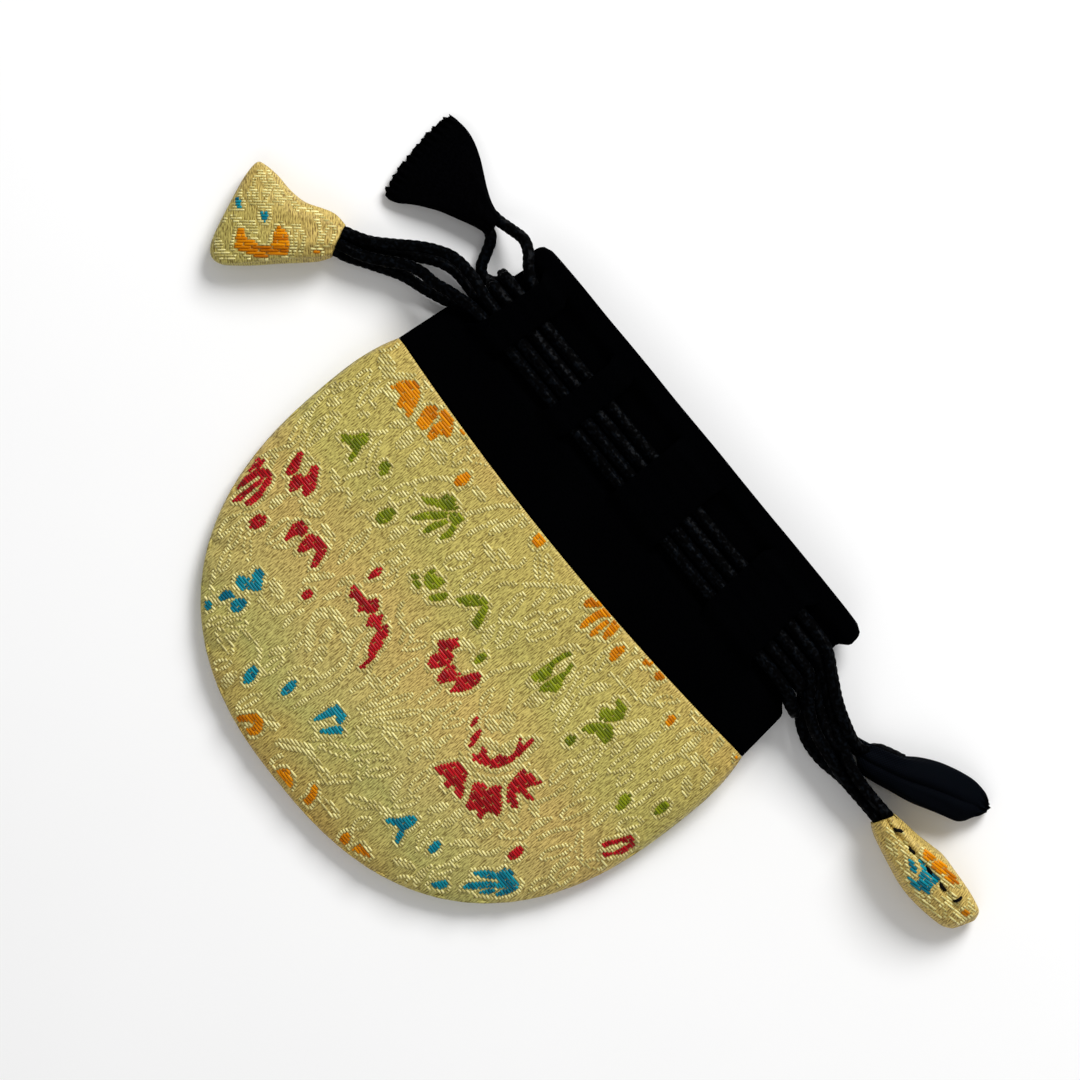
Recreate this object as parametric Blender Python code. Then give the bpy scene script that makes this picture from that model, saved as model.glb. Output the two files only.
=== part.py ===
"""A small brocade drawstring bag, lying on its back.

Its pouch is two brocade panels sewn together round the edge, with a plain lining. A velvet
band tops each panel. Slits in the bands let four knitted drawstrings weave in and out: two
run round the mouth from the left and two from the right, and each pair ends in a brocade
pull. A black cloth pull hangs on a short doubled cord at each corner of the mouth.

X runs along the seam between brocade and velvet, +Y to the mouth and +Z up. The sizes below
are measured from the middle of that seam. The finished bag is moved forward, so that its
origin lies under the middle of its pouch and band together.
"""

import math

import bmesh
import bpy

# The bag's outline, in millimetres
POUCH_WIDTH = 120.0
SEAM_TAKEN_IN = 4.8
SEAM_WIDTH = POUCH_WIDTH - SEAM_TAKEN_IN
POUCH_DEPTH = 80.0
WIDEST_BELOW_SEAM = 17.0
POUCH_ROUNDNESS = 2.45
BAND_HEIGHT = 37.0
MOUTH_TAPER = 8.4
MOUTH_WIDTH = SEAM_WIDTH - MOUTH_TAPER
DRAWN_IN = 3.0
PANEL_CORNER = 0.3

# Heights over the surface that the bag lies on, in millimetres
POUCH_EDGE_HEIGHT = 3.8
BAND_EDGE_HEIGHT = 7.0
POUCH_TOP_HEIGHT = 10.0
BAND_TOP_HEIGHT = 12.0
BAND_BASE_HEIGHT = 1.8
FRONT_CORD_HEIGHT = 11.7
BACK_CORD_HEIGHT = 2.4

# How the cloth swells from its sewn edge: a larger flatness is a squarer shoulder
FLATNESS_AT_FOOT = 4.5
FLATNESS_AT_SEAM = 8.0
FLATNESS_SPAN = 60.0
SHOULDER = 0.65
BACK_FULLNESS = 1.2
CROWN_SPAN = 50.0
EDGE_RISE_START = 32.0
EDGE_RISE_SPAN = 42.0
BASE_RISE_START = 6.0
BASE_RISE_SPAN = 14.0

# Cloth, in millimetres
BROCADE_THICKNESS = 0.8
VELVET_THICKNESS = 0.8
LINING_THICKNESS = 0.4
GAP = 0.3
FLUTE_DEPTH = 0.7

# Drawstrings and the channel that they weave through, in millimetres
CORD_DIAMETER = 2.5
CORD_PITCH = 3.1
STRANDS = 5
TOP_STRAND_TO_MOUTH = 8.2
LOWEST_STRAND = BAND_HEIGHT - TOP_STRAND_TO_MOUTH - (STRANDS - 1) * CORD_PITCH
CHANNEL_RAMP = 2.8
CHANNEL_ROOM = 0.45
SLIT_WIDTH = 0.6
TURN_INSET = 2.7
CORD_STEP = 6.5

# The cloth strips over the strands and the strands' own points, as shares of half the band
BRIDGES = ((-0.922, -0.776), (-0.484, -0.357), (-0.061, 0.206), (0.513, 0.8))
STRAND_START = 0.92
STRAND_MIDDLE = 0.31

# Net sizes: faces across and down each panel, and the widest column of a band
PANEL_NET = (20, 11)
LINING_NET = (16, 9)
BAND_COLUMN = 4.6

# Pulls, in millimetres and degrees
GRIP_DEPTH = 5.5
GRIP_WALL = 0.75
FLOOR_CLEARANCE = 0.4
PLEATS = 7
PLEAT_DEPTH = 0.05
PINKED_DEPTH = 0.7
PULL_SQUARENESS = 0.85

MM = 0.001
FORWARD = (POUCH_DEPTH - BAND_HEIGHT) / 2


def smooth(value):
    """Eases from 0 to 1 as the value goes from 0 to 1."""
    value = min(1.0, max(0.0, value))
    return value * value * (3.0 - 2.0 * value)


def between(low, high, share):
    return low + (high - low) * share


def material(name, colour, roughness):
    made = bpy.data.materials.new(name)
    made.use_nodes = True
    shader = made.node_tree.nodes["Principled BSDF"]
    shader.inputs["Base Color"].default_value = (*colour, 1.0)
    shader.inputs["Roughness"].default_value = roughness
    made.diffuse_color = (*colour, 1.0)
    return made


def solid(name, mesh, finish):
    """Moves the mesh forward, scales it from millimetres, closes it and makes it an object."""
    bmesh.ops.translate(mesh, vec=(0.0, FORWARD, 0.0), verts=mesh.verts)
    bmesh.ops.scale(mesh, vec=(MM, MM, MM), verts=mesh.verts)
    bmesh.ops.remove_doubles(mesh, verts=mesh.verts, dist=1e-7)
    bmesh.ops.recalc_face_normals(mesh, faces=mesh.faces)
    data = bpy.data.meshes.new(name)
    mesh.to_mesh(data)
    mesh.free()
    data.materials.append(finish)
    data.shade_smooth()
    data.set_sharp_from_angle(angle=math.radians(50))
    made = bpy.data.objects.new(name, data)
    bpy.context.collection.objects.link(made)
    return made


# The shape of the cloth

def upper_axis():
    """Height of the half oval over the pouch's widest line, so that it meets the seam's width."""
    share = 1.0 - (SEAM_WIDTH / POUCH_WIDTH) ** POUCH_ROUNDNESS
    return WIDEST_BELOW_SEAM / share ** (1.0 / POUCH_ROUNDNESS)


def channel_ends():
    low = LOWEST_STRAND - CORD_DIAMETER / 2 - CHANNEL_ROOM
    high = low + (STRANDS - 1) * CORD_PITCH + CORD_DIAMETER + 2 * CHANNEL_ROOM
    return low, high


def in_channel(y):
    """1 where the cloth leaves the strands room, 0 clear of the channel."""
    low, high = channel_ends()
    return smooth((y - low + CHANNEL_RAMP) / CHANNEL_RAMP) * smooth((high + CHANNEL_RAMP - y) / CHANNEL_RAMP)


def half_width(y, inset):
    """Half the bag's width at this height, with the cloth's face set in by the inset."""
    if y > 0:
        straight = between(SEAM_WIDTH, MOUTH_WIDTH, y / BAND_HEIGHT) / 2
        return straight - DRAWN_IN * in_channel(y) - inset
    depth = upper_axis()
    if y < -WIDEST_BELOW_SEAM:
        depth = POUCH_DEPTH - WIDEST_BELOW_SEAM - inset
    share = min(1.0, abs(y + WIDEST_BELOW_SEAM) / depth)
    return (POUCH_WIDTH / 2 - inset) * (1.0 - share ** POUCH_ROUNDNESS) ** (1.0 / POUCH_ROUNDNESS)


def rise(x, y, inset):
    """0 at the sewn edge, 1 over the middle of the bag."""
    if y < -WIDEST_BELOW_SEAM:
        across = abs(x) / (POUCH_WIDTH / 2 - inset)
        down = (-y - WIDEST_BELOW_SEAM) / (POUCH_DEPTH - WIDEST_BELOW_SEAM - inset)
        out = (across ** POUCH_ROUNDNESS + down ** POUCH_ROUNDNESS) ** (1.0 / POUCH_ROUNDNESS)
    else:
        out = abs(x) / half_width(y, inset)
    flatness = between(FLATNESS_AT_FOOT, FLATNESS_AT_SEAM, smooth((y + FLATNESS_SPAN) / FLATNESS_SPAN))
    return (1.0 - min(1.0, out) ** flatness) ** SHOULDER


def edge_height(y):
    return between(POUCH_EDGE_HEIGHT, BAND_EDGE_HEIGHT, smooth((y + EDGE_RISE_START) / EDGE_RISE_SPAN))


def cloth_height(side, x, y, inset, gap=GAP):
    """Height of the cloth's face: side is 1 on the front and -1 on the back."""
    edge = edge_height(y) + side * gap / 2
    full = rise(x, y, inset)
    if side > 0:
        crown = between(POUCH_TOP_HEIGHT, BAND_TOP_HEIGHT, smooth((y + CROWN_SPAN) / CROWN_SPAN))
        return edge + (crown - inset - edge) * full
    floor = BAND_BASE_HEIGHT * smooth((y + BASE_RISE_START) / BASE_RISE_SPAN)
    return edge - (edge - floor - inset) * min(1.0, BACK_FULLNESS * full)


# The brocade pouch and its lining

def rim_point(turn, inset):
    """Point of the pouch's edge: turn is 0 at the right end of the seam and 1 at the left."""
    start = math.asin((WIDEST_BELOW_SEAM / upper_axis()) ** (POUCH_ROUNDNESS / 2))
    angle = start - turn * (math.pi + 2 * start)
    power = 2.0 / POUCH_ROUNDNESS
    across = math.copysign(abs(math.cos(angle)) ** power, math.cos(angle))
    up = math.copysign(abs(math.sin(angle)) ** power, math.sin(angle))
    reach = POUCH_DEPTH - WIDEST_BELOW_SEAM - inset if up < 0 else upper_axis()
    return (POUCH_WIDTH / 2 - inset) * across, reach * up - WIDEST_BELOW_SEAM


def pouch_grid(side, inset, columns, rows, top, gap=GAP):
    """A four-sided net over the panel, from the seam down, with its corners on the round edge."""
    corner = PANEL_CORNER
    seam_left, seam_right = rim_point(1.0, inset), rim_point(0.0, inset)
    foot_left, foot_right = rim_point(1.0 - corner, inset), rim_point(corner, inset)
    net = []
    for i in range(rows + 1):
        down = math.sin(i / rows * math.pi / 2) * 0.5 + i / rows * 0.5
        row = []
        for j in range(columns + 1):
            across = (1.0 - math.cos(j / columns * math.pi)) / 2 * 0.6 + j / columns * 0.4
            left, right = rim_point(1.0 - down * corner, inset), rim_point(down * corner, inset)
            foot = rim_point(1.0 - corner - across * (1.0 - 2 * corner), inset)
            point = []
            for k in range(2):
                seam = between(seam_left[k], seam_right[k], across)
                sides = between(left[k], right[k], across)
                corners = between(seam, between(foot_left[k], foot_right[k], across), down)
                point.append(between(seam, foot[k], down) + sides - corners)
            x, y = point[0], min(point[1], 0.0)
            row.append((x, y + top * (1.0 - down) ** 8, cloth_height(side, x, y, inset, gap)))
        net.append(row)
    return net


def add_net(mesh, net):
    return [[mesh.verts.new(point) for point in row] for row in net]


def two_faced(mesh, outer, inner, cut=()):
    """Joins the outer and inner net, with a wall round the outside and round each cell cut out."""
    outside, inside = add_net(mesh, outer), add_net(mesh, inner)
    rows, columns = len(outer) - 1, len(outer[0]) - 1
    for i in range(rows):
        for j in range(columns):
            if (i, j) in cut:
                continue
            ring = ((i, j), (i, j + 1), (i + 1, j + 1), (i + 1, j))
            mesh.faces.new([outside[a][b] for a, b in ring])
            mesh.faces.new([inside[a][b] for a, b in reversed(ring)])
            beside = ((i - 1, j), (i, j + 1), (i + 1, j), (i, j - 1))
            for k, (a, b) in enumerate(beside):
                if 0 <= a < rows and 0 <= b < columns and (a, b) not in cut:
                    continue
                (p, q), (r, s) = ring[k], ring[(k + 1) % 4]
                mesh.faces.new([outside[r][s], outside[p][q], inside[p][q], inside[r][s]])


def panel(name, side, finish):
    mesh = bmesh.new()
    outer = pouch_grid(side, 0.0, *PANEL_NET, -GAP / 2)
    inner = pouch_grid(side, BROCADE_THICKNESS, *PANEL_NET, -GAP / 2)
    two_faced(mesh, outer, inner)
    return solid(name, mesh, finish)


def lining(finish):
    """A bag of one skin: its front and back meet at the edge and it is open at the seam."""
    mesh = bmesh.new()
    outside = BROCADE_THICKNESS + GAP
    inside = outside + LINING_THICKNESS
    for side in (1, -1):
        outer = add_net(mesh, pouch_grid(side, outside, *LINING_NET, -GAP / 2, 0.0))
        inner = add_net(mesh, pouch_grid(side, inside, *LINING_NET, -GAP / 2, 0.0))
        for i in range(len(outer) - 1):
            for j in range(len(outer[0]) - 1):
                for net in (outer, inner):
                    mesh.faces.new([net[i][j], net[i][j + 1], net[i + 1][j + 1], net[i + 1][j]])
        for j in range(len(outer[0]) - 1):
            mesh.faces.new([outer[0][j], outer[0][j + 1], inner[0][j + 1], inner[0][j]])
    return solid("lining", mesh, finish)


# The velvet bands, with slits for the drawstrings

def channel_edge():
    """Half the band's width at the middle of the channel."""
    return half_width(sum(channel_ends()) / 2, 0.0)


def band_columns():
    """Each column's place across the channel, and whether its cloth bridges the strands there."""
    edge = channel_edge()
    cuts = [share * edge for bridge in BRIDGES for share in bridge]
    ends = [-edge, *cuts, edge]
    found = []
    for k in range(len(ends) - 1):
        low = ends[k] + (SLIT_WIDTH / 2 if k else 0.0)
        high = ends[k + 1] - (SLIT_WIDTH / 2 if k < len(cuts) else 0.0)
        steps = max(2, math.ceil((high - low) / BAND_COLUMN))
        found += [(between(low, high, n / steps), k % 2 == 1) for n in range(steps + 1)]
    return found


def flute(x):
    """Soft folds of the mouth: out over each bridge and in between them."""
    edge = SEAM_WIDTH / 2
    middles = [sum(bridge) / 2 * channel_edge() for bridge in BRIDGES]
    knots = [(-edge, -0.5)]
    for k, middle in enumerate(middles):
        if k:
            knots.append(((middle + middles[k - 1]) / 2, -1.0))
        knots.append((middle, 1.0))
    knots.append((edge, -0.5))
    for (x0, fold0), (x1, fold1) in zip(knots, knots[1:]):
        if x <= x1:
            return between(fold0, fold1, smooth((x - x0) / (x1 - x0)))
    return knots[-1][1]


def band_height(side, x, y, bridged, inset):
    resting = cloth_height(side, x, y, inset)
    full = rise(x, y, inset)
    resting += side * FLUTE_DEPTH * flute(x) * full * smooth((y - 3.0) / 8.0)
    strand = FRONT_CORD_HEIGHT if side > 0 else BACK_CORD_HEIGHT
    clear = CORD_DIAMETER / 2 + GAP
    if bridged:
        woven = strand + side * (clear + VELVET_THICKNESS - inset)
    else:
        woven = strand - side * (clear + inset)
        edge = edge_height(y) + side * GAP / 2
        woven = edge + (woven - edge) * min(1.0, 1.1 * full)
    return between(resting, woven, in_channel(y))


def band_rows():
    low, high = channel_ends()
    middle = (low + high) / 2
    start, end = low - CHANNEL_RAMP, high + CHANNEL_RAMP
    ramp = CHANNEL_RAMP / 2
    inner = [low - ramp, low, (low + middle) / 2, middle, (middle + high) / 2, high, high + ramp]
    return [GAP / 2, start / 2, start, *inner, end, BAND_HEIGHT], start, end


def band(name, side, finish):
    columns = band_columns()
    rows, start, end = band_rows()
    edge = columns[-1][0]
    cut = {
        (i, j)
        for i in range(len(rows) - 1)
        for j in range(len(columns) - 1)
        if columns[j][1] != columns[j + 1][1] and start <= rows[i] < end
    }
    nets = []
    for inset in (0.0, VELVET_THICKNESS):
        nets.append([])
        for y in rows:
            reach = half_width(y, inset) / edge
            places = [(x * reach, bridged) for x, bridged in columns]
            nets[-1].append([(x, y, band_height(side, x, y, bridged, inset)) for x, bridged in places])
    mesh = bmesh.new()
    two_faced(mesh, nets[0], nets[1], cut)
    return solid(name, mesh, finish)


# The pulls: each a gathered fold of cloth that grips the cords' ends in its neck

class Pull:
    """Neck centre and heading in the plane, the strands' places in the neck, and its form.

    Each station of the form is its distance from the neck, half width, half height and shift.
    """

    def __init__(self, neck, heading, strands, stations):
        self.neck, self.heading, self.strands, self.stations = neck, math.radians(heading), strands, stations
        reach = CORD_DIAMETER / 2 + GAP
        wide = max(abs(lateral) for lateral, _ in strands) + reach
        high = max(abs(up) for _, up in strands) + reach
        turns = [math.radians(angle) for angle in range(0, 91, 15)]
        spread = max(
            math.hypot((abs(lateral) + reach * math.cos(a)) / wide, (abs(up) + reach * math.sin(a)) / high)
            for lateral, up in strands
            for a in turns
        )
        self.grip_width, self.grip_height = wide * spread, high * spread
        self.middle = FLOOR_CLEARANCE + (self.grip_height + GRIP_WALL) * (1.0 + PLEAT_DEPTH)

    def place(self, along, lateral, height):
        x = self.neck[0] + along * math.cos(self.heading) - lateral * math.sin(self.heading)
        y = self.neck[1] + along * math.sin(self.heading) + lateral * math.cos(self.heading)
        return x, y, height

    def grip(self, strand):
        """The two last points of a cord that ends in the neck, from outside to inside."""
        lateral, up = self.strands[strand]
        return [self.place(along, lateral, self.middle + up) for along in (0.0, GRIP_DEPTH - GAP)]


LEFT_BROCADE = Pull(
    (-82.6, 2.9), 211.3,
    ((-2.1, 1.2), (-0.7, -1.2), (0.7, 1.2), (2.1, -1.2)),
    (
        (4.0, 5.2, 4.6, 0.0), (9.0, 7.0, 4.9, 0.0), (14.0, 9.2, 4.3, 0.2),
        (18.5, 10.8, 3.0, 0.4), (22.8, 9.9, 1.5, 0.4),
    ),
)
RIGHT_BROCADE = Pull(
    (86.7, 15.1), 0.0,
    ((1.2, 2.1), (-1.2, 0.7), (1.2, -0.7), (-1.2, -2.1)),
    (
        (5.0, 4.4, 5.0, 0.0), (10.0, 5.4, 5.1, 0.0), (16.0, 6.0, 4.7, -0.2),
        (22.0, 5.7, 3.8, -0.2), (28.6, 3.9, 1.7, 0.4),
    ),
)
LEFT_BLACK = Pull(
    (-64.0, 31.0), 184.9,
    ((1.4, 0.0), (-1.4, 0.0)),
    (
        (4.0, 5.0, 2.9, 0.0), (9.0, 7.0, 2.8, 0.3), (15.0, 9.2, 2.2, 0.8),
        (20.0, 10.4, 1.6, 1.0), (24.0, 10.8, 1.1, 1.0),
    ),
)
RIGHT_BLACK = Pull(
    (76.0, 22.6), 26.3,
    ((1.4, 0.0), (-1.4, 0.0)),
    (
        (4.0, 4.5, 3.3, 0.0), (9.0, 5.5, 4.0, 0.2), (15.0, 5.9, 3.8, 0.3),
        (20.5, 4.8, 2.8, 0.3), (25.0, 3.2, 1.6, 0.3),
    ),
)


def cloth_pull(name, form, pinked, finish):
    sides = 4 * PLEATS
    mesh = bmesh.new()

    def ring(along, wide, high, shift, fold, notch=0.0):
        middle = form.middle
        if along > GRIP_DEPTH:
            middle = FLOOR_CLEARANCE + high * (1.0 + PLEAT_DEPTH)
        made = []
        for k in range(sides):
            angle = 2 * math.pi * k / sides
            size = 1.0 + fold * math.cos(PLEATS * angle)
            step = along + notch * (1 if k % 2 else -1)
            side = shift + wide * size * math.copysign(abs(math.cos(angle)) ** PULL_SQUARENESS, math.cos(angle))
            made.append(mesh.verts.new(form.place(step, side, middle + high * size * math.sin(angle))))
        return made

    wide, high = form.grip_width, form.grip_height
    rings = [ring(GRIP_DEPTH, wide, high, 0.0, 0.0), ring(0.0, wide, high, 0.0, 0.0)]
    rings.append(ring(0.0, wide + GRIP_WALL, high + GRIP_WALL, 0.0, PLEAT_DEPTH / 2))
    last = len(form.stations) - 1
    for k, (along, wide, high, shift) in enumerate(form.stations):
        fold = PLEAT_DEPTH * (1.0 - k / last)
        rings.append(ring(along, wide, high, shift, fold, PINKED_DEPTH if pinked and k == last else 0.0))
    for near, far in zip(rings, rings[1:]):
        for k in range(sides):
            mesh.faces.new([near[k], near[(k + 1) % sides], far[(k + 1) % sides], far[k]])
    mesh.faces.new(rings[0])
    mesh.faces.new(rings[-1])
    return solid(name, mesh, finish)


# The cords

def curve_through(route):
    """Points on one smooth curve through the route's own points, a few diameters apart."""
    points = [route[0]]
    for k in range(len(route) - 1):
        before, start = route[max(k - 1, 0)], route[k]
        end, after = route[k + 1], route[min(k + 2, len(route) - 1)]
        steps = max(1, round(math.dist(start, end) / CORD_STEP))
        for n in range(1, steps + 1):
            t = n / steps
            weights = (-t + 2 * t**2 - t**3, 2 - 5 * t**2 + 3 * t**3, t + 4 * t**2 - 3 * t**3, t**3 - t**2)
            parts = zip(before, start, end, after)
            points.append(tuple(sum(w * p for w, p in zip(weights, part)) / 2 for part in parts))
    return points


def cord(name, route, finish):
    data = bpy.data.curves.new(name, "CURVE")
    data.dimensions = "3D"
    data.bevel_depth = CORD_DIAMETER / 2 * MM
    data.bevel_resolution = 2
    data.use_fill_caps = True
    points = curve_through(route)
    spline = data.splines.new("POLY")
    spline.points.add(len(points) - 1)
    for target, (x, y, z) in zip(spline.points, points):
        target.co = (x * MM, (y + FORWARD) * MM, z * MM, 1.0)
    data.materials.append(finish)
    made = bpy.data.objects.new(name, data)
    bpy.context.collection.objects.link(made)
    return made


def strand_line(row):
    return LOWEST_STRAND + row * CORD_PITCH


def woven_loop(row, away):
    """A drawstring's way through the bands: across the front, round the far edge and back."""
    y = strand_line(row)
    edge = channel_edge()
    middle = (FRONT_CORD_HEIGHT + BACK_CORD_HEIGHT) / 2
    radius = (FRONT_CORD_HEIGHT - BACK_CORD_HEIGHT) / 2
    turn = [
        (away * (edge - TURN_INSET + radius * math.sin(angle)), y, middle + radius * math.cos(angle))
        for angle in (0.0, math.pi / 4, math.pi / 2, math.pi * 3 / 4, math.pi)
    ]
    near = [(away * share * edge, y) for share in (-STRAND_START, -STRAND_MIDDLE, STRAND_MIDDLE)]
    front = [(x, line, FRONT_CORD_HEIGHT) for x, line in near]
    back = [(x, line, BACK_CORD_HEIGHT) for x, line in reversed(near)]
    return [*front, *turn, *back]


def drawstring(name, row, away, form, strands, out, back, finish):
    """From the pull's neck through the bands and back to the neck: out and back are the free runs."""
    first, last = form.grip(strands[0]), form.grip(strands[1])
    route = [first[1], first[0], *out, *woven_loop(row, away), *back, last[0], last[1]]
    return cord(name, route, finish)


def tab_cord(name, form, strand, run, finish):
    grip = form.grip(strand)
    return cord(name, [grip[1], grip[0], *run], finish)


for old in list(bpy.data.objects):
    bpy.data.objects.remove(old, do_unlink=True)

BROCADE = material("brocade", (0.62, 0.54, 0.27), 0.5)
VELVET = material("black velvet", (0.006, 0.006, 0.008), 0.9)
LINING = material("black lining", (0.02, 0.02, 0.022), 0.6)
KNITTED = material("black knitted cord", (0.01, 0.01, 0.012), 0.75)
BLACK_CLOTH = material("black cloth", (0.012, 0.012, 0.016), 0.7)

panel("front_panel", 1, BROCADE)
panel("back_panel", -1, BROCADE)
lining(LINING)
band("front_band", 1, VELVET)
band("back_band", -1, VELVET)

cloth_pull("left_brocade_pull", LEFT_BROCADE, False, BROCADE)
cloth_pull("right_brocade_pull", RIGHT_BROCADE, False, BROCADE)
cloth_pull("left_black_pull", LEFT_BLACK, True, BLACK_CLOTH)
cloth_pull("right_black_pull", RIGHT_BLACK, True, BLACK_CLOTH)

drawstring(
    "left_upper_drawstring", 1, 1, LEFT_BROCADE, (0, 1),
    [(-76.0, 9.8, 5.2), (-68.0, 14.2, 6.4), (-61.0, 17.6, 8.8), (-55.0, 19.3, 11.0)],
    [(-55.0, 18.6, 2.3), (-61.0, 15.8, 2.2), (-68.0, 11.0, 2.3), (-76.0, 7.0, 2.7)],
    KNITTED,
)
drawstring(
    "left_lower_drawstring", 0, 1, LEFT_BROCADE, (2, 3),
    [(-75.5, 4.6, 5.6), (-68.0, 7.6, 6.4), (-61.0, 11.9, 8.6), (-55.0, 15.2, 10.9)],
    [(-55.0, 14.6, 2.3), (-61.0, 9.6, 2.2), (-68.0, 4.4, 2.3), (-75.0, 1.6, 2.7)],
    KNITTED,
)
drawstring(
    "right_lower_drawstring", 2, -1, RIGHT_BROCADE, (1, 3),
    [(81.0, 13.9, 5.8), (75.0, 14.4, 6.3), (67.0, 16.6, 7.2), (60.0, 19.6, 8.9), (54.0, 22.3, 11.0)],
    [(54.0, 22.0, 2.3), (60.0, 17.8, 2.2), (67.0, 13.6, 2.2), (75.0, 12.4, 2.4), (81.0, 13.2, 2.7)],
    KNITTED,
)
drawstring(
    "right_upper_drawstring", 3, -1, RIGHT_BROCADE, (0, 2),
    [(81.0, 16.5, 7.3), (75.0, 17.6, 7.7), (67.0, 20.4, 8.2), (60.0, 23.8, 9.2), (54.0, 25.6, 10.9)],
    [(54.0, 25.2, 2.3), (60.0, 22.4, 2.4), (67.0, 18.4, 3.0), (75.0, 16.2, 3.9), (81.0, 16.2, 4.3)],
    KNITTED,
)
tab_cord(
    "left_front_tab_cord", LEFT_BLACK, 1,
    [(-59.6, 34.9, 5.6), (-55.6, 34.9, 9.6), (-52.0, 31.4, 11.6), (-48.0, 28.9, 11.7), (-41.0, 28.8, 11.7)],
    KNITTED,
)
tab_cord(
    "left_back_tab_cord", LEFT_BLACK, 0,
    [(-61.3, 29.0, 3.1), (-59.4, 26.9, 2.6), (-57.2, 26.6, 2.4), (-54.0, 28.2, 2.4), (-41.0, 28.8, 2.4)],
    KNITTED,
)
tab_cord(
    "right_front_tab_cord", RIGHT_BLACK, 0,
    [
        (70.0, 25.1, 4.4), (64.0, 26.8, 6.2), (58.0, 28.6, 8.8),
        (53.0, 29.3, 11.0), (48.0, 28.9, 11.7), (36.0, 28.8, 11.7),
    ],
    KNITTED,
)
tab_cord(
    "right_back_tab_cord", RIGHT_BLACK, 1,
    [
        (71.0, 21.9, 2.9), (66.0, 23.6, 2.3), (60.0, 26.4, 2.2),
        (54.0, 28.6, 2.3), (48.0, 28.8, 2.4), (36.0, 28.8, 2.4),
    ],
    KNITTED,
)
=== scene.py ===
import math

import bmesh
import bpy
import numpy as np
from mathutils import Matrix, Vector
from mathutils.bvhtree import BVHTree


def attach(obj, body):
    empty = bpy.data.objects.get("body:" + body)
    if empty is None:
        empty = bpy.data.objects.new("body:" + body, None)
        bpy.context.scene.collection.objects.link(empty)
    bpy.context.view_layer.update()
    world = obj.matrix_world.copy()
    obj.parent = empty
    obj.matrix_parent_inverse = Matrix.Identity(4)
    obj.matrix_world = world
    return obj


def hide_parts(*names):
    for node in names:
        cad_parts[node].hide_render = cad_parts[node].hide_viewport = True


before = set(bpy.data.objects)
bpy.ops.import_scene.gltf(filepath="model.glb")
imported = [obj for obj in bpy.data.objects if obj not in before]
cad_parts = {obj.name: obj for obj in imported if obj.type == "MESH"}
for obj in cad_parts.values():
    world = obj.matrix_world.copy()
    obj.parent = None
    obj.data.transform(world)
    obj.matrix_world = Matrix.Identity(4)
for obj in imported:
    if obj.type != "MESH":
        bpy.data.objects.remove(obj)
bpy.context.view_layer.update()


# The table, the lamps and the camera.
# The bag lies on a plain pale table under a large soft lamp and a weaker one from the other
# side. The camera looks straight down, turned so that the seam runs down to the right.

PIXEL = 0.0002135
SEAM_MIDDLE = (570.0, 547.5)
SEAM_TURN = math.radians(50.67)
FORWARD = 0.0215
CAMERA_HEIGHT = 0.75
VIEW_MIDDLE = (540.0, 540.0)
LENS = 116.5
TABLE_WIDTH = 8.0
SKY_STRENGTH = 0.36


def on_bag(across, down):
    """The place on the bag, in metres, of a point of the photograph."""
    right = (across - SEAM_MIDDLE[0]) * PIXEL
    below = (down - SEAM_MIDDLE[1]) * PIXEL
    x = right * math.cos(SEAM_TURN) + below * math.sin(SEAM_TURN)
    y = right * math.sin(SEAM_TURN) - below * math.cos(SEAM_TURN)
    return x, y + FORWARD


class Tone:
    """A value or colour on its way through a material's nodes."""

    def __init__(self, tree, socket=None):
        self.tree, self.socket = tree, socket

    def node(self, kind, values=None, out=0, **settings):
        made = self.tree.nodes.new(kind)
        stops = settings.pop("stops", None)
        for key, value in settings.items():
            setattr(made, key, value)
        if stops:
            ramp = made.color_ramp.elements
            while len(ramp) < len(stops):
                ramp.new(0.5)
            for element, (place, colour) in zip(ramp, stops):
                element.position = place
                element.color = colour if len(colour) == 4 else (*colour, 1.0)
        for key, value in (values or {}).items():
            if isinstance(value, Tone):
                self.tree.links.new(value.socket, made.inputs[key])
            else:
                made.inputs[key].default_value = value
        return Tone(self.tree, made.outputs[out])

    def math(self, operation, *values):
        numbered = {k: value for k, value in enumerate((self, *values))}
        return self.node("ShaderNodeMath", numbered, operation=operation)

    def __add__(self, other):
        return self.math("ADD", other)

    __radd__ = __add__

    def __mul__(self, other):
        return self.math("MULTIPLY", other)

    __rmul__ = __mul__

    def __sub__(self, other):
        return self.math("SUBTRACT", other)

    def __rsub__(self, other):
        return self.node("ShaderNodeMath", {0: other, 1: self}, operation="SUBTRACT")

    def part(self, axis):
        """The x, y or z of this place, for axis 0, 1 or 2."""
        return self.node("ShaderNodeSeparateXYZ", {0: self}, axis)

    def noise(self, scale, detail, roughness=0.5):
        """A cloudy value over this place."""
        values = {"Vector": self, "Scale": scale, "Detail": detail, "Roughness": roughness}
        return self.node("ShaderNodeTexNoise", values)

    def ramp(self, *stops):
        """This value turned into a colour, by stops of place and colour."""
        return self.node("ShaderNodeValToRGB", {0: self}, stops=stops)

    def bump(self, strength, distance):
        """This value as the height of the surface."""
        values = {"Height": self, "Strength": strength, "Distance": distance}
        return self.node("ShaderNodeBump", values)


def material(name, roughness, **sockets):
    """A new Principled material, its start tone, and its shader's sockets."""
    made = bpy.data.materials.new(name)
    made.use_nodes = True
    tree = made.node_tree
    shader = tree.nodes["Principled BSDF"]
    shader.inputs["Roughness"].default_value = roughness
    for key, value in sockets.items():
        shader.inputs[key.replace("_", " ")].default_value = value
    return made, Tone(tree), shader.inputs


def feed(tone, socket):
    tone.tree.links.new(tone.socket, socket)


def place_on_piece(start):
    return start.node("ShaderNodeTexCoord", out=3)


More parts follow.
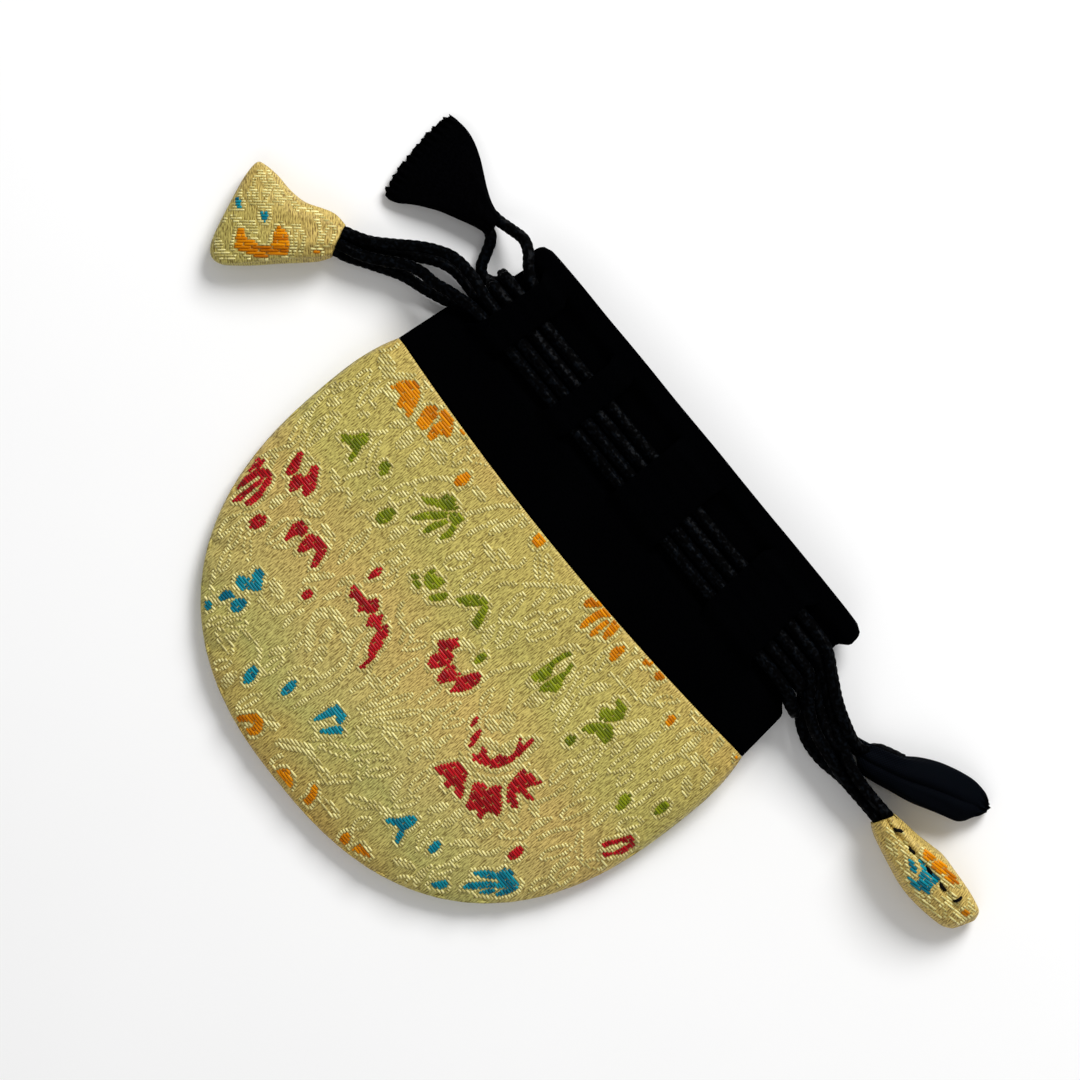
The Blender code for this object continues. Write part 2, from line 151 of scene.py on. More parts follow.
table_finish, start, table = material("pale table", 0.85)
speckle = place_on_piece(start).noise(9.0, 3.0)
feed(speckle.ramp((0.3, (0.94, 0.94, 0.94)), (0.7, (0.96, 0.96, 0.96))), table["Base Color"])
bpy.ops.object.select_all(action="DESELECT")
bpy.ops.mesh.primitive_plane_add(size=TABLE_WIDTH, location=(0.0, 0.0, 0.0))
floor = bpy.context.active_object
floor.name = "table_top"
floor.data.materials.append(table_finish)

world = bpy.context.scene.world or bpy.data.worlds.new("studio")
bpy.context.scene.world = world
world.use_nodes = True
sky = world.node_tree.nodes["Background"].inputs
sky["Color"].default_value = (1.0, 1.0, 1.0, 1.0)
sky["Strength"].default_value = SKY_STRENGTH


def lamp(name, place, power, size):
    """A square lamp at a place, turned to the middle of the table."""
    data = bpy.data.lights.new(name, "AREA")
    data.energy = power
    data.size = size
    made = bpy.data.objects.new(name, data)
    bpy.context.collection.objects.link(made)
    made.location = place
    made.rotation_euler = (-Vector(place)).to_track_quat("-Z", "Y").to_euler()


lamp("window_lamp", (-0.25, 0.85, 0.7), 13.0, 0.5)
lamp("fill_lamp", (0.5, -0.6, 0.9), 2.0, 0.8)

camera_data = bpy.data.cameras.new("camera")
camera_data.lens = LENS
camera = bpy.data.objects.new("camera", camera_data)
bpy.context.collection.objects.link(camera)
camera.location = (*on_bag(*VIEW_MIDDLE), CAMERA_HEIGHT)
camera.rotation_euler = (0.0, 0.0, SEAM_TURN)
bpy.context.scene.camera = camera
bpy.context.scene.view_settings.view_transform = "Standard"


# The drawstrings and the short cords of the black pulls.
# Each is a limp black cord, knitted round, so that its face is two rows of chain stitches.
# The long ones weave through the bands' slits, and every end is gripped in a pull.

MM = 0.001
CORD_DIAMETER = 2.6
CORD_SIDES = 20
CORD_STEP = 0.3
STITCH_LENGTH = 1.7
STITCH_COLUMNS = 5
FRONT_CORD_HEIGHT = 11.7
BACK_CORD_HEIGHT = 2.4
LOWEST_STRAND = 16.4
STRAND_PITCH = 3.1
WEAVING_POINTS = (48.0, 16.0)
TURN_CENTRE = 49.35


def smooth(value):
    """0 up to 0 and 1 from 1 on, with a soft rise between."""
    value = np.clip(value, 0.0, 1.0)
    return value * value * (3.0 - 2.0 * value)


def curve_through(route, step):
    """Points on one smooth curve through the route's own points, a step apart."""
    route = np.array(route, float)
    points = [route[0]]
    for k in range(len(route) - 1):
        before, first = route[max(k - 1, 0)], route[k]
        last, after = route[k + 1], route[min(k + 2, len(route) - 1)]
        steps = max(1, round(float(np.linalg.norm(last - first)) / step))
        for n in range(1, steps + 1):
            t = n / steps
            weights = (
                -t + 2 * t**2 - t**3,
                2 - 5 * t**2 + 3 * t**3,
                t + 4 * t**2 - 3 * t**3,
                t**3 - t**2,
            )
            points.append(sum(w * p for w, p in zip(weights, (before, first, last, after))) / 2)
    return np.array(points)


def along(points):
    """The length of the line up to each of its points."""
    return np.concatenate([[0.0], np.cumsum(np.linalg.norm(np.diff(points, axis=0), axis=1))])


def make_piece(name, points, faces, finish):
    """A mesh piece from points in millimetres."""
    data = bpy.data.meshes.new(name)
    data.from_pydata((np.asarray(points, float) * MM).tolist(), [], [tuple(face) for face in faces])
    data.materials.append(finish)
    data.validate()
    data.shade_smooth()
    made = bpy.data.objects.new(name, data)
    bpy.context.collection.objects.link(made)
    return made


def side_frames(points):
    """Two directions across the line at each point, without twist."""
    ahead = np.gradient(points, axis=0)
    ahead /= np.linalg.norm(ahead, axis=1)[:, None]
    first = np.cross(ahead[0], (0.0, 0.0, 1.0))
    across = [first / np.linalg.norm(first)]
    for k in range(1, len(points)):
        turned = across[-1] - ahead[k] * np.dot(across[-1], ahead[k])
        across.append(turned / np.linalg.norm(turned))
    across = np.array(across)
    return across, np.cross(ahead, across)


def tube_faces(rings, sides):
    """The faces of a closed tube: its wall, ring by ring, and its two ends."""
    faces = []
    for k in range(rings - 1):
        for n in range(sides):
            a, b = k * sides + n, k * sides + (n + 1) % sides
            faces.append((a, b, b + sides, a + sides))
    faces.append(tuple(range(sides))[::-1])
    faces.append(tuple(range((rings - 1) * sides, rings * sides)))
    return faces


def knitted_tube(name, route, finish):
    """A round cord whose surface is five columns of chain stitches."""
    line = curve_through(route, CORD_STEP)
    travel = along(line)
    across, up = side_frames(line)
    points = []
    for k, centre in enumerate(line):
        phase = travel[k] / STITCH_LENGTH
        for n in range(CORD_SIDES):
            angle = 2 * math.pi * n / CORD_SIDES
            column = angle / (2 * math.pi) * STITCH_COLUMNS
            lean = 0.8 * abs((column % 1.0) - 0.5)
            stitch = abs(math.sin(math.pi * (phase + lean + 0.5 * (int(column) % 2)))) ** 0.6
            groove = abs(math.sin(math.pi * column)) ** 0.6
            size = CORD_DIAMETER / 2 * (0.84 + 0.20 * groove * (0.3 + 0.7 * stitch))
            points.append(centre + size * (math.cos(angle) * across[k] + math.sin(angle) * up[k]))
    return make_piece(name, points, tube_faces(len(line), CORD_SIDES), finish), line


cord_finish, start, cord_look = material("black knitted cord", 0.34)
cord_look["Specular IOR Level"].default_value = 0.016
fibre = place_on_piece(start).noise(1900.0, 2.0)
worn = place_on_piece(start).noise(950.0, 1.0)
tuft = fibre * 0.4 + worn * 0.6
feed(tuft.ramp((0.5, (0.0001, 0.0001, 0.0002)), (0.66, (0.0026, 0.0036, 0.0052))), cord_look["Base Color"])
feed(worn.ramp((0.42, (0.75, 0.75, 0.75)), (0.58, (0.32, 0.32, 0.32))), cord_look["Roughness"])
feed(fibre.bump(0.35, 0.0002), cord_look["Normal"])

PULL_PLACES = {
    "left_brocade_pull": ((-82.6, 2.9), 211.3, 4.694),
    "right_brocade_pull": ((86.7, 15.1), 0.0, 5.842),
    "left_black_pull": ((-64.0, 31.0), 184.9, 3.047),
    "right_black_pull": ((76.0, 22.6), 26.3, 3.047),
}
GRIP_DEPTH = 5.5


def on_pull(pull, ahead, beside, height):
    """A point given along and across a pull, from the middle of its neck."""
    (x, y), heading, _ = PULL_PLACES[pull]
    turn = math.radians(heading)
    x += ahead * math.cos(turn) - beside * math.sin(turn)
    y += ahead * math.sin(turn) + beside * math.cos(turn)
    return x, y + FORWARD / MM, height


def grip(pull, beside, rise):
    """The last two points of a cord that ends in this pull."""
    height = PULL_PLACES[pull][2] + rise
    return [on_pull(pull, ahead, beside, height) for ahead in (0.0, GRIP_DEPTH)]


def forward(route):
    """A route given from the seam's middle, set where the bag lies."""
    return [(x, y + FORWARD / MM, z) for x, y, z in route]


def woven(row, away, slack=0.0):
    """The run through the front slits, round the bag's edge and back through the other slits."""
    y = LOWEST_STRAND + row * STRAND_PITCH
    middle_height = (FRONT_CORD_HEIGHT + BACK_CORD_HEIGHT) / 2
    radius = (FRONT_CORD_HEIGHT - BACK_CORD_HEIGHT) / 2
    turn = [
        (
            away * (TURN_CENTRE + (radius + slack) * math.sin(angle)),
            y - slack * math.sin(angle) / 2,
            middle_height + radius * math.cos(angle),
        )
        for angle in np.linspace(0.0, math.pi, 5)
    ]
    far, near = WEAVING_POINTS
    run = (-away * far, -away * near, away * near)
    there = [(x, y, FRONT_CORD_HEIGHT) for x in run]
    back = [(x, y, BACK_CORD_HEIGHT) for x in reversed(run)]
    return [*there, *turn, *back]


def lay_cord(name, route):
    """One whole cord, both of whose ends are held by the bag."""
    piece, line = knitted_tube(name + "_knit", route, cord_finish)
    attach(piece, "root")
    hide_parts(name)
    [c * MM for c in route[0]]


def lay_drawstring(name, woven_run, pull, first, last, out, back):
    """A drawstring from its pull, out to the bag, through the bands and back to the pull."""
    start_grip, end_grip = grip(pull, *first), grip(pull, *last)
    route = [*reversed(start_grip), *forward(out), *forward(woven_run), *forward(back), *end_grip]
    lay_cord(name, route)


lay_drawstring(
    "left_upper_drawstring", woven(1, 1, 1.3), "left_brocade_pull", (-2.1, 1.2), (-0.7, -1.2),
    [(-78.0, 7.9, 5.6), (-73.9, 11.6, 6.2), (-70.1, 15.4, 7.0), (-66.8, 18.0, 7.9), (-63.0, 19.9, 9.0),
     (-57.5, 20.3, 10.6)],
    [(-55.0, 18.5, 2.3), (-58.5, 18.6, 2.3), (-62.0, 18.3, 2.3), (-65.4, 16.8, 2.2), (-68.8, 14.1, 2.2),
     (-72.2, 11.1, 2.3), (-76.6, 7.3, 2.7)],
)
lay_drawstring(
    "left_lower_drawstring", woven(0, 1, 3.4), "left_brocade_pull", (0.7, 1.2), (2.1, -1.2),
    [(-76.6, 4.9, 5.7), (-72.5, 7.8, 6.0), (-69.0, 10.8, 6.6), (-65.4, 12.6, 7.6), (-61.5, 13.3, 9.0),
     (-56.5, 15.0, 10.7)],
    [(-55.0, 14.2, 2.3), (-57.8, 12.9, 2.3), (-62.4, 11.0, 2.2), (-67.8, 9.1, 2.2), (-73.6, 5.6, 2.4),
     (-78.2, 2.6, 2.8)],
)
lay_drawstring(
    "right_lower_drawstring", woven(2, -1), "right_brocade_pull", (-1.0, 0.7), (-1.0, -2.1),
    [(81.0, 14.0, 5.8), (75.0, 13.9, 6.3), (69.0, 14.6, 7.0), (63.0, 15.6, 8.3), (58.0, 17.7, 10.0),
     (54.0, 21.1, 11.2)],
    [(54.0, 21.2, 2.3), (57.0, 17.3, 2.3), (60.0, 14.7, 2.3), (64.0, 13.1, 2.2), (69.0, 12.8, 2.2),
     (75.0, 13.8, 2.4), (81.0, 14.2, 2.9)],
)
lay_drawstring(
    "right_upper_drawstring", woven(3, -1), "right_brocade_pull", (1.0, 2.1), (1.0, -0.7),
    [(81.0, 16.0, 7.5), (75.0, 16.4, 7.9), (69.0, 18.2, 8.4), (63.0, 20.4, 9.2), (58.0, 22.8, 10.3),
     (54.0, 24.9, 11.2)],
    [(54.0, 24.4, 2.3), (58.0, 20.8, 2.3), (63.0, 18.2, 2.6), (69.0, 16.6, 3.2), (75.0, 15.6, 4.1),
     (81.0, 16.0, 4.6)],
)


def lay_tab_cord(name, pull, beside, run):
    """A short cord from under the first bridge to its black pull."""
    lay_cord(name, [*forward(reversed(run)), *grip(pull, beside, 0.0)])


lay_tab_cord(
    "left_front_tab_cord", "left_black_pull", -1.4,
    [(-60.8, 33.1, 5.2), (-56.8, 33.8, 8.6), (-53.8, 32.7, 10.8), (-51.4, 30.8, 11.6), (-48.0, 29.2, 11.7),
     (-41.0, 28.8, 11.7)],
)
lay_tab_cord(
    "left_back_tab_cord", "left_black_pull", 1.4,
    [(-61.6, 28.6, 3.1), (-60.0, 26.1, 2.7), (-58.5, 23.5, 2.5), (-56.4, 22.4, 2.3), (-53.9, 23.8, 2.2),
     (-51.8, 26.6, 2.2), (-48.8, 28.5, 2.3), (-40.4, 28.8, 2.4)],
)
lay_tab_cord(
    "right_front_tab_cord", "right_black_pull", 1.4,
    [(73.0, 21.0, 5.0), (70.5, 20.4, 7.0), (66.0, 21.3, 10.2), (61.0, 23.0, 11.7), (56.0, 25.5, 13.0),
     (51.0, 28.2, 12.6), (46.0, 28.9, 11.7), (36.0, 28.8, 11.7)],
)
lay_tab_cord(
    "right_back_tab_cord", "right_black_pull", -1.4,
    [(72.5, 20.0, 3.0), (69.0, 19.0, 2.6), (63.0, 21.3, 2.4), (58.0, 24.3, 2.3), (54.0, 27.3, 2.3),
     (48.0, 28.8, 2.4), (36.0, 28.8, 2.4)],
)


# The brocade panels of the pouch.
# Two panels of straw-gold silk brocade, sewn face to face round the edge and turned. The
# ground is a fine satin whose warp runs from the bottom to the mouth, and the seam to the
# velvet bows down a little in its middle.

SEAM_WIDTH = 115.2
POUCH_WIDTH = 120.0
POUCH_DEPTH = 80.0
WIDEST = 17.0
ROUNDNESS = 2.45
BAND_HEIGHT = 37.0
MOUTH_WIDTH = 106.8
MOUTH_CORNER = 2.2
DRAWN_IN = 2.3
UPPER_AXIS = WIDEST / (1.0 - (SEAM_WIDTH / POUCH_WIDTH) ** ROUNDNESS) ** (1.0 / ROUNDNESS)
CHANNEL = (14.7, 30.5)
CHANNEL_RAMP = 2.8
SEAM_BOW = 2.6
SEAM_END = 2.0
SEAM_EASE = 11.0
EDGE_AT_FOOT, EDGE_RISE = 3.8, 3.2
CROWN_AT_FOOT, CROWN_RISE = 10.0, 2.0
FLOOR_AT_FOOT, FLOOR_RISE = 0.26, 1.54
SLACK_DEPTH = 0.35
FINE_SLACK_DEPTH = 0.2
PUCKER_DEPTH = 0.24
SLOPE_REACH = 0.1
NET_CORNER = 0.3
CLOTH_LIFT = 0.02
CLOTH_THICKNESS = 0.5
PANEL_NET = (130, 90)
WARP_PITCH = 0.00052


def in_channel(y):
    """1 where the band is slit for the drawstrings, and 0 above and below."""
    low, high = CHANNEL
    return smooth((y - low + CHANNEL_RAMP) / CHANNEL_RAMP) * smooth((high + CHANNEL_RAMP - y) / CHANNEL_RAMP)


def half_width(y):
    """Half the bag's width at heights over the seam, in millimetres."""
    y = np.asarray(y, float)
    straight = (SEAM_WIDTH + (MOUTH_WIDTH - SEAM_WIDTH) * y / BAND_HEIGHT) / 2 - DRAWN_IN * in_channel(y)
    rise = np.clip(y - BAND_HEIGHT + MOUTH_CORNER, 0.0, MOUTH_CORNER)
    straight = straight - MOUTH_CORNER + np.sqrt(MOUTH_CORNER**2 - rise**2)
    depth = np.where(y < -WIDEST, POUCH_DEPTH - WIDEST, UPPER_AXIS)
    share = np.clip(np.abs(y + WIDEST) / depth, 0.0, 1.0)
    oval = POUCH_WIDTH / 2 * (1.0 - share**ROUNDNESS) ** (1.0 / ROUNDNESS)
    return np.where(y > 0, straight, oval)


def outward(x, y):
    """0 at the middle of the bag and 1 at its sewn edge."""
    x, y = np.asarray(x, float), np.asarray(y, float)
    down = np.clip((-y - WIDEST) / (POUCH_DEPTH - WIDEST), 0.0, 1.0)
    low = ((np.abs(x) / (POUCH_WIDTH / 2)) ** ROUNDNESS + down**ROUNDNESS) ** (1.0 / ROUNDNESS)
    high = np.abs(x) / np.maximum(half_width(y), 1.0)
    return np.clip(np.where(y < -WIDEST, low, high), 0.0, 1.0)


def seam_line(x):
    """How far the seam bows down between the bag's edges, in millimetres."""
    share = np.asarray(x, float) / (SEAM_WIDTH / 2 - SEAM_END)
    return -SEAM_BOW * np.clip(1.0 - share**2, 0.0, 1.0)


def edge_height(y):
    """Height of the bag's sewn edge over the table, in millimetres."""
    return EDGE_AT_FOOT + EDGE_RISE * smooth((y + 32.0) / 42.0)


def fullness(x, y):
    """1 over the middle of the bag, falling off to 0 at its sewn edge."""
    flatness = 4.5 + 3.5 * smooth((y + 60.0) / 60.0)
    return (1.0 - outward(x, y) ** flatness) ** 0.65


def puckers(x, y):
    """Small folds where the edge seam draws the brocade in, in millimetres."""
    out = outward(x, y)
    turn = np.arctan2(y + WIDEST, x)
    ripple = np.sin(37 * turn + 1.1) + 0.7 * np.sin(53 * turn + 0.4 + 2 * np.sin(5 * turn))
    ripple = ripple + 0.5 * np.sin(91 * turn)
    return PUCKER_DEPTH * ripple * smooth((out - 0.8) / 0.16) * (0.35 + 0.65 * smooth(-(y + 10.0) / 25.0))


def cloth_height(side, x, y):
    """Height of the cloth's outer face over the table, in millimetres."""
    full = fullness(x, y)
    edge = edge_height(y)
    slack = SLACK_DEPTH * np.sin(x / 13.0 + 0.6) * np.sin(y / 11.0 + 0.4)
    slack = slack + FINE_SLACK_DEPTH * np.sin(x / 6.1 - y / 9.0)
    if side > 0:
        crown = CROWN_AT_FOOT + CROWN_RISE * smooth((y + 50.0) / 50.0)
        pressed = slack * smooth(-(y + 2.0) / 14.0)
        return edge + (crown + pressed - edge) * full + puckers(x, y)
    floor_height = FLOOR_AT_FOOT + FLOOR_RISE * smooth((y + 6.0) / 14.0)
    return edge - (edge - floor_height) * np.minimum(1.0, 1.2 * full) - puckers(x, y) * (full < 0.8)


def rim_point(turn):
    """Point of the pouch's edge: turn is 0 at the right end of the seam and 1 at the left."""
    start_angle = math.asin((WIDEST / UPPER_AXIS) ** (ROUNDNESS / 2))
    angle = start_angle - np.asarray(turn) * (math.pi + 2 * start_angle)
    power = 2.0 / ROUNDNESS
    x = np.sign(np.cos(angle)) * np.abs(np.cos(angle)) ** power * POUCH_WIDTH / 2
    reach = np.where(np.sin(angle) < 0, POUCH_DEPTH - WIDEST, UPPER_AXIS)
    y = np.sign(np.sin(angle)) * np.abs(np.sin(angle)) ** power * reach - WIDEST
    return np.stack([x, y], axis=-1)


def pouch_places(across, down):
    """Spreads a square net over the pouch: across is 0 to 1 and down is 0 at the seam."""
    corner = NET_CORNER
    ends = rim_point([1.0, 0.0, 1.0 - corner, corner])
    a, d = across[:, None], down[:, None]
    seam = ends[0] * (1 - a) + ends[1] * a
    foot = rim_point(1.0 - corner - across * (1.0 - 2 * corner))
    sides = rim_point(1.0 - down * corner) * (1 - a) + rim_point(down * corner) * a
    corners = seam * (1 - d) + (ends[2] * (1 - a) + ends[3] * a) * d
    return seam * (1 - d) + foot * d + sides - corners


def stretched_grid(name, columns, rows):
    """Blender's grid with its own places given back as shares of its width and depth."""
    bpy.ops.object.select_all(action="DESELECT")
    bpy.ops.mesh.primitive_grid_add(x_subdivisions=columns, y_subdivisions=rows, size=2.0)
    made = bpy.context.active_object
    made.name = name
    made.data.name = name
    places = np.empty(len(made.data.vertices) * 3)
    made.data.vertices.foreach_get("co", places)
    places = places.reshape(-1, 3)
    return made, (places[:, 0] + 1.0) / 2.0, (1.0 - places[:, 1]) / 2.0


def set_places(piece, x, y, z):
    """Moves a piece's points to places given in millimetres from the seam's middle."""
    places = np.stack([x, np.asarray(y) + FORWARD / MM, z], axis=1) * MM
    piece.data.vertices.foreach_set("co", places.ravel())
    piece.data.update()


def pick(*pieces):
    """Selects these pieces alone, with the first of them active."""
    bpy.ops.object.select_all(action="DESELECT")
    for piece in pieces:
        piece.select_set(True)
    bpy.context.view_layer.objects.active = pieces[0]


def thicken(piece, thickness, side):
    """Gives the cloth its thickness on the inside, with its faces outward."""
    pick(piece)
    if side < 0:
        bpy.ops.object.mode_set(mode="EDIT")
        bpy.ops.mesh.select_all(action="SELECT")
        bpy.ops.mesh.flip_normals()
        bpy.ops.object.mode_set(mode="OBJECT")
    wall = piece.modifiers.new("cloth", "SOLIDIFY")
    wall.thickness = thickness * MM
    wall.offset = -1.0
    bpy.ops.object.modifier_apply(modifier=wall.name)
    bpy.ops.object.shade_smooth()


GOLD_BANDS = (
    (0.0, (0.52, 0.38, 0.105)),
    (0.1, (0.49, 0.40, 0.108)),
    (0.3, (0.47, 0.41, 0.112)),
    (0.5, (0.53, 0.39, 0.120)),
    (0.7, (0.48, 0.40, 0.128)),
    (0.82, (0.43, 0.40, 0.120)),
    (1.0, (0.50, 0.35, 0.090)),
)


def satin_ground(name, turn=0.0, painted_dimming=1.0):
    """Fine satin, its colour in bands across the cloth where the coloured wefts pass behind, with painted
    highlight and shade on its threads and a factor of painted dimming.
    """
    finish, start, look = material(name, 0.5)
    look["Specular IOR Level"].default_value = 0.25
    place = place_on_piece(start)
    turned = start.node("ShaderNodeMapping", {"Vector": place, "Rotation": (0.0, 0.0, turn)})
    warp = start.node("ShaderNodeMapping", {"Vector": turned, "Scale": (5000.0, 1000.0, 1000.0)})
    thread = warp.noise(1.0, 2.0, 0.55)
    broad = place.noise(85.0, 3.0)
    down = (FORWARD - place.part(1)) * (1.0 / (POUCH_DEPTH * MM)) + (broad - 0.5) * 0.22
    lines = turned.part(0) * (2.0 * math.pi / WARP_PITCH) + broad * 9.0
    thread = thread + lines.math("SINE") * 0.055
    # The threads' tone is partly their own and partly painted light: the noise that sets their bump height
    # also paints their raised tops lighter, up to a near-white painted highlight, and the hollows between
    # them darker as painted shade.
    thread_tones_and_painted_light = ((0.35, (0.40, 0.33, 0.21)), (0.48, (0.89, 0.88, 0.82)), (0.65, (1.34, 1.34, 1.31)))
    # The last argument scales these tones down: painted shade, which darkens a copy of this satin.
    shade = thread.ramp(*[(at, tuple(painted_dimming * part for part in colour)) for at, colour in thread_tones_and_painted_light])
    values = {0: 1.0, 6: down.ramp(*GOLD_BANDS), 7: shade}
    feed(start.node("ShaderNodeMix", values, 2, data_type="RGBA", blend_type="MULTIPLY"), look["Base Color"])
    feed(thread.bump(0.55, 0.00012), look["Normal"])
    return finish


ground_finish = satin_ground("straw gold satin")
for side, node in ((1, "front_panel"), (-1, "back_panel")):
    piece, across, down = stretched_grid(node + "_cloth", *PANEL_NET)
    down = 0.5 * down + 0.5 * np.sin(down * math.pi / 2)
    across = 0.7 * across + 0.3 * (1.0 - np.cos(across * math.pi)) / 2
    places = pouch_places(across, down)
    x, y = places[:, 0], np.minimum(places[:, 1], 0.0)
    y = y + seam_line(x) * smooth(1.0 + y / SEAM_EASE)
    set_places(piece, x, y, cloth_height(side, x, y) + side * CLOTH_LIFT)
    thicken(piece, CLOTH_THICKNESS, side)
    piece.data.materials.append(ground_finish)
    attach(piece, "root")
    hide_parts(node)


# The lining.
# A thin plain black bag inside the brocade, sewn in at the seam, so that nothing catches on the
# loose backs of the silks. It only shows through the mouth.

lining_finish, start, lining_look = material("black lining", 0.6)
lining_look["Base Color"].default_value = (0.012, 0.012, 0.014, 1.0)
LINING_INSET = 1.1
LINING_THICKNESS = 0.3
LINING_NET = (60, 40)
LINING_ACROSS, LINING_DOWN = 0.975, 0.98
halves = []
for side, half_name in ((1, "lining_half_1"), (-1, "lining_half_2")):
    half, across, down = stretched_grid(half_name, *LINING_NET)
    places = pouch_places(across, down)
    x, y = places[:, 0] * LINING_ACROSS, np.minimum(places[:, 1], 0.0) * LINING_DOWN
    middle_height = edge_height(y)
    deep = cloth_height(side, x, y) - middle_height
    inside = 1.0 - LINING_INSET / np.maximum(np.abs(deep), LINING_INSET)
    set_places(half, x, y, middle_height + deep * inside)
    thicken(half, LINING_THICKNESS, side)
    halves.append(half)
pick(*halves)
bpy.ops.object.join()
lining = bpy.context.active_object
lining.name = "lining_bag"
lining.data.materials.append(lining_finish)
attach(lining, "root")
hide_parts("lining")


# The woven flowers.
# Coloured silk wefts float over the satin in small flowers and buds, each row of them bound
# down every few millimetres. The petals are read off the photograph, in its pixels: outlines,
# or across, down, length, width and turn where one is a plain leaf.

ROW_PITCH = 0.61
RED = (
    ((240, 474), (247, 465), (253, 460), (259, 458), (265, 461), (262, 466), (255, 468), (247, 472)),
    ((228, 494), (233, 486), (241, 480), (250, 474), (259, 468), (268, 470), (273, 477), (272, 483),
     (266, 491), (262, 487), (266, 480), (261, 475), (254, 480), (246, 485), (237, 490)),
    ((234, 501), (238, 496), (245, 491), (252, 486), (258, 481), (262, 479), (263, 483), (256, 488),
     (248, 494), (243, 500)),
    ((245, 503), (250, 499), (256, 493), (262, 488), (266, 490), (263, 496), (258, 501), (252, 505),
     (247, 506)),
    ((287, 474), (290, 467), (294, 460), (299, 454), (302, 452), (304, 456), (302, 463), (300, 470),
     (296, 474), (291, 475)),
    ((294, 476), (301, 475), (306, 478), (309, 475), (313, 467), (318, 466), (320, 472), (318, 478),
     (318, 485), (315, 491), (309, 496), (304, 495), (305, 490), (302, 488), (297, 490), (292, 492),
     (291, 485)),
    ((251, 521), (255, 517), (261, 514), (266, 517), (268, 521), (264, 526), (257, 529), (252, 527)),
    ((287, 538), (290, 532), (293, 526), (298, 522), (303, 521), (308, 525), (309, 531), (307, 536),
     (303, 536), (298, 534), (293, 537), (289, 540)),
    ((299, 551), (301, 545), (305, 540), (309, 535), (314, 534), (319, 537), (324, 541), (329, 547),
     (326, 555), (318, 566), (313, 567), (315, 559), (318, 552), (316, 547), (311, 549), (305, 552)),
    ((370, 578), (373, 572), (378, 568), (382, 568), (383, 572), (380, 575), (375, 577)),
    (309, 594, 11, 8, -30),
    ((351, 597), (352, 590), (354, 585), (358, 586), (361, 592), (366, 598), (371, 600), (375, 598),
     (379, 597), (379, 604), (380, 609), (374, 613), (379, 616), (383, 614), (384, 618), (382, 625),
     (388, 624), (389, 630), (388, 636), (384, 641), (383, 646), (379, 649), (376, 656), (371, 661),
     (366, 667), (362, 666), (365, 662), (370, 657), (370, 648), (372, 642), (374, 637), (379, 630),
     (377, 626), (368, 625), (370, 618), (372, 613), (366, 610), (360, 611), (360, 605), (361, 601),
     (357, 597)),
    ((437, 641), (441, 639), (448, 638), (457, 638), (460, 645), (452, 649), (454, 658), (450, 663),
     (441, 666), (431, 667), (429, 663), (431, 656), (439, 651), (440, 647)),
    ((438, 676), (445, 667), (450, 663), (454, 665), (457, 671), (461, 673), (458, 679), (449, 680),
     (441, 682)),
    ((451, 690), (457, 681), (461, 676), (466, 674), (472, 672), (478, 671), (481, 675), (480, 680),
     (476, 684), (470, 688), (463, 690)),
    ((471, 724), (473, 719), (475, 716), (478, 716), (477, 721), (474, 724)),
    ((469, 741), (472, 736), (476, 731), (479, 728), (481, 730), (479, 736), (475, 742), (471, 745)),
    ((473, 752), (477, 754), (481, 750), (483, 744), (487, 747), (486, 753), (489, 758), (495, 757),
     (498, 752), (502, 754), (508, 755), (513, 753), (516, 748), (518, 742), (520, 737), (521, 743),
     (523, 745), (528, 739), (532, 736), (534, 738), (530, 743), (524, 749), (517, 756), (509, 761),
     (500, 765), (493, 766), (486, 763), (479, 761), (474, 757)),
    ((434, 766), (441, 763), (449, 761), (458, 760), (462, 765), (468, 770), (466, 777), (465, 783),
     (464, 789), (462, 796), (458, 795), (456, 789), (453, 782), (447, 787), (444, 781), (449, 778),
     (441, 771)),
    ((474, 781), (480, 780), (485, 783), (487, 789), (490, 785), (497, 783), (501, 785), (501, 793),
     (502, 800), (501, 809), (498, 814), (493, 811), (488, 809), (485, 812), (481, 817), (478, 814),
     (478, 808), (471, 808), (466, 804), (470, 796), (472, 788)),
    ((508, 801), (507, 790), (509, 782), (514, 776), (518, 771), (523, 767), (526, 772), (531, 771),
     (536, 776), (541, 781), (535, 783), (529, 784), (526, 786), (531, 794), (533, 799), (528, 796),
     (521, 791), (516, 789), (515, 794), (518, 802), (517, 806), (512, 805), (511, 799)),
    (516, 851, 17, 9, -40),
    ((602, 842), (608, 839), (616, 838), (623, 835), (629, 834), (634, 836), (633, 840), (627, 841),
     (619, 841), (611, 843), (605, 845)),
    ((600, 852), (606, 851), (613, 851), (619, 848), (624, 845), (629, 842), (634, 841), (634, 845),
     (629, 849), (622, 852), (614, 853), (606, 855)),
)
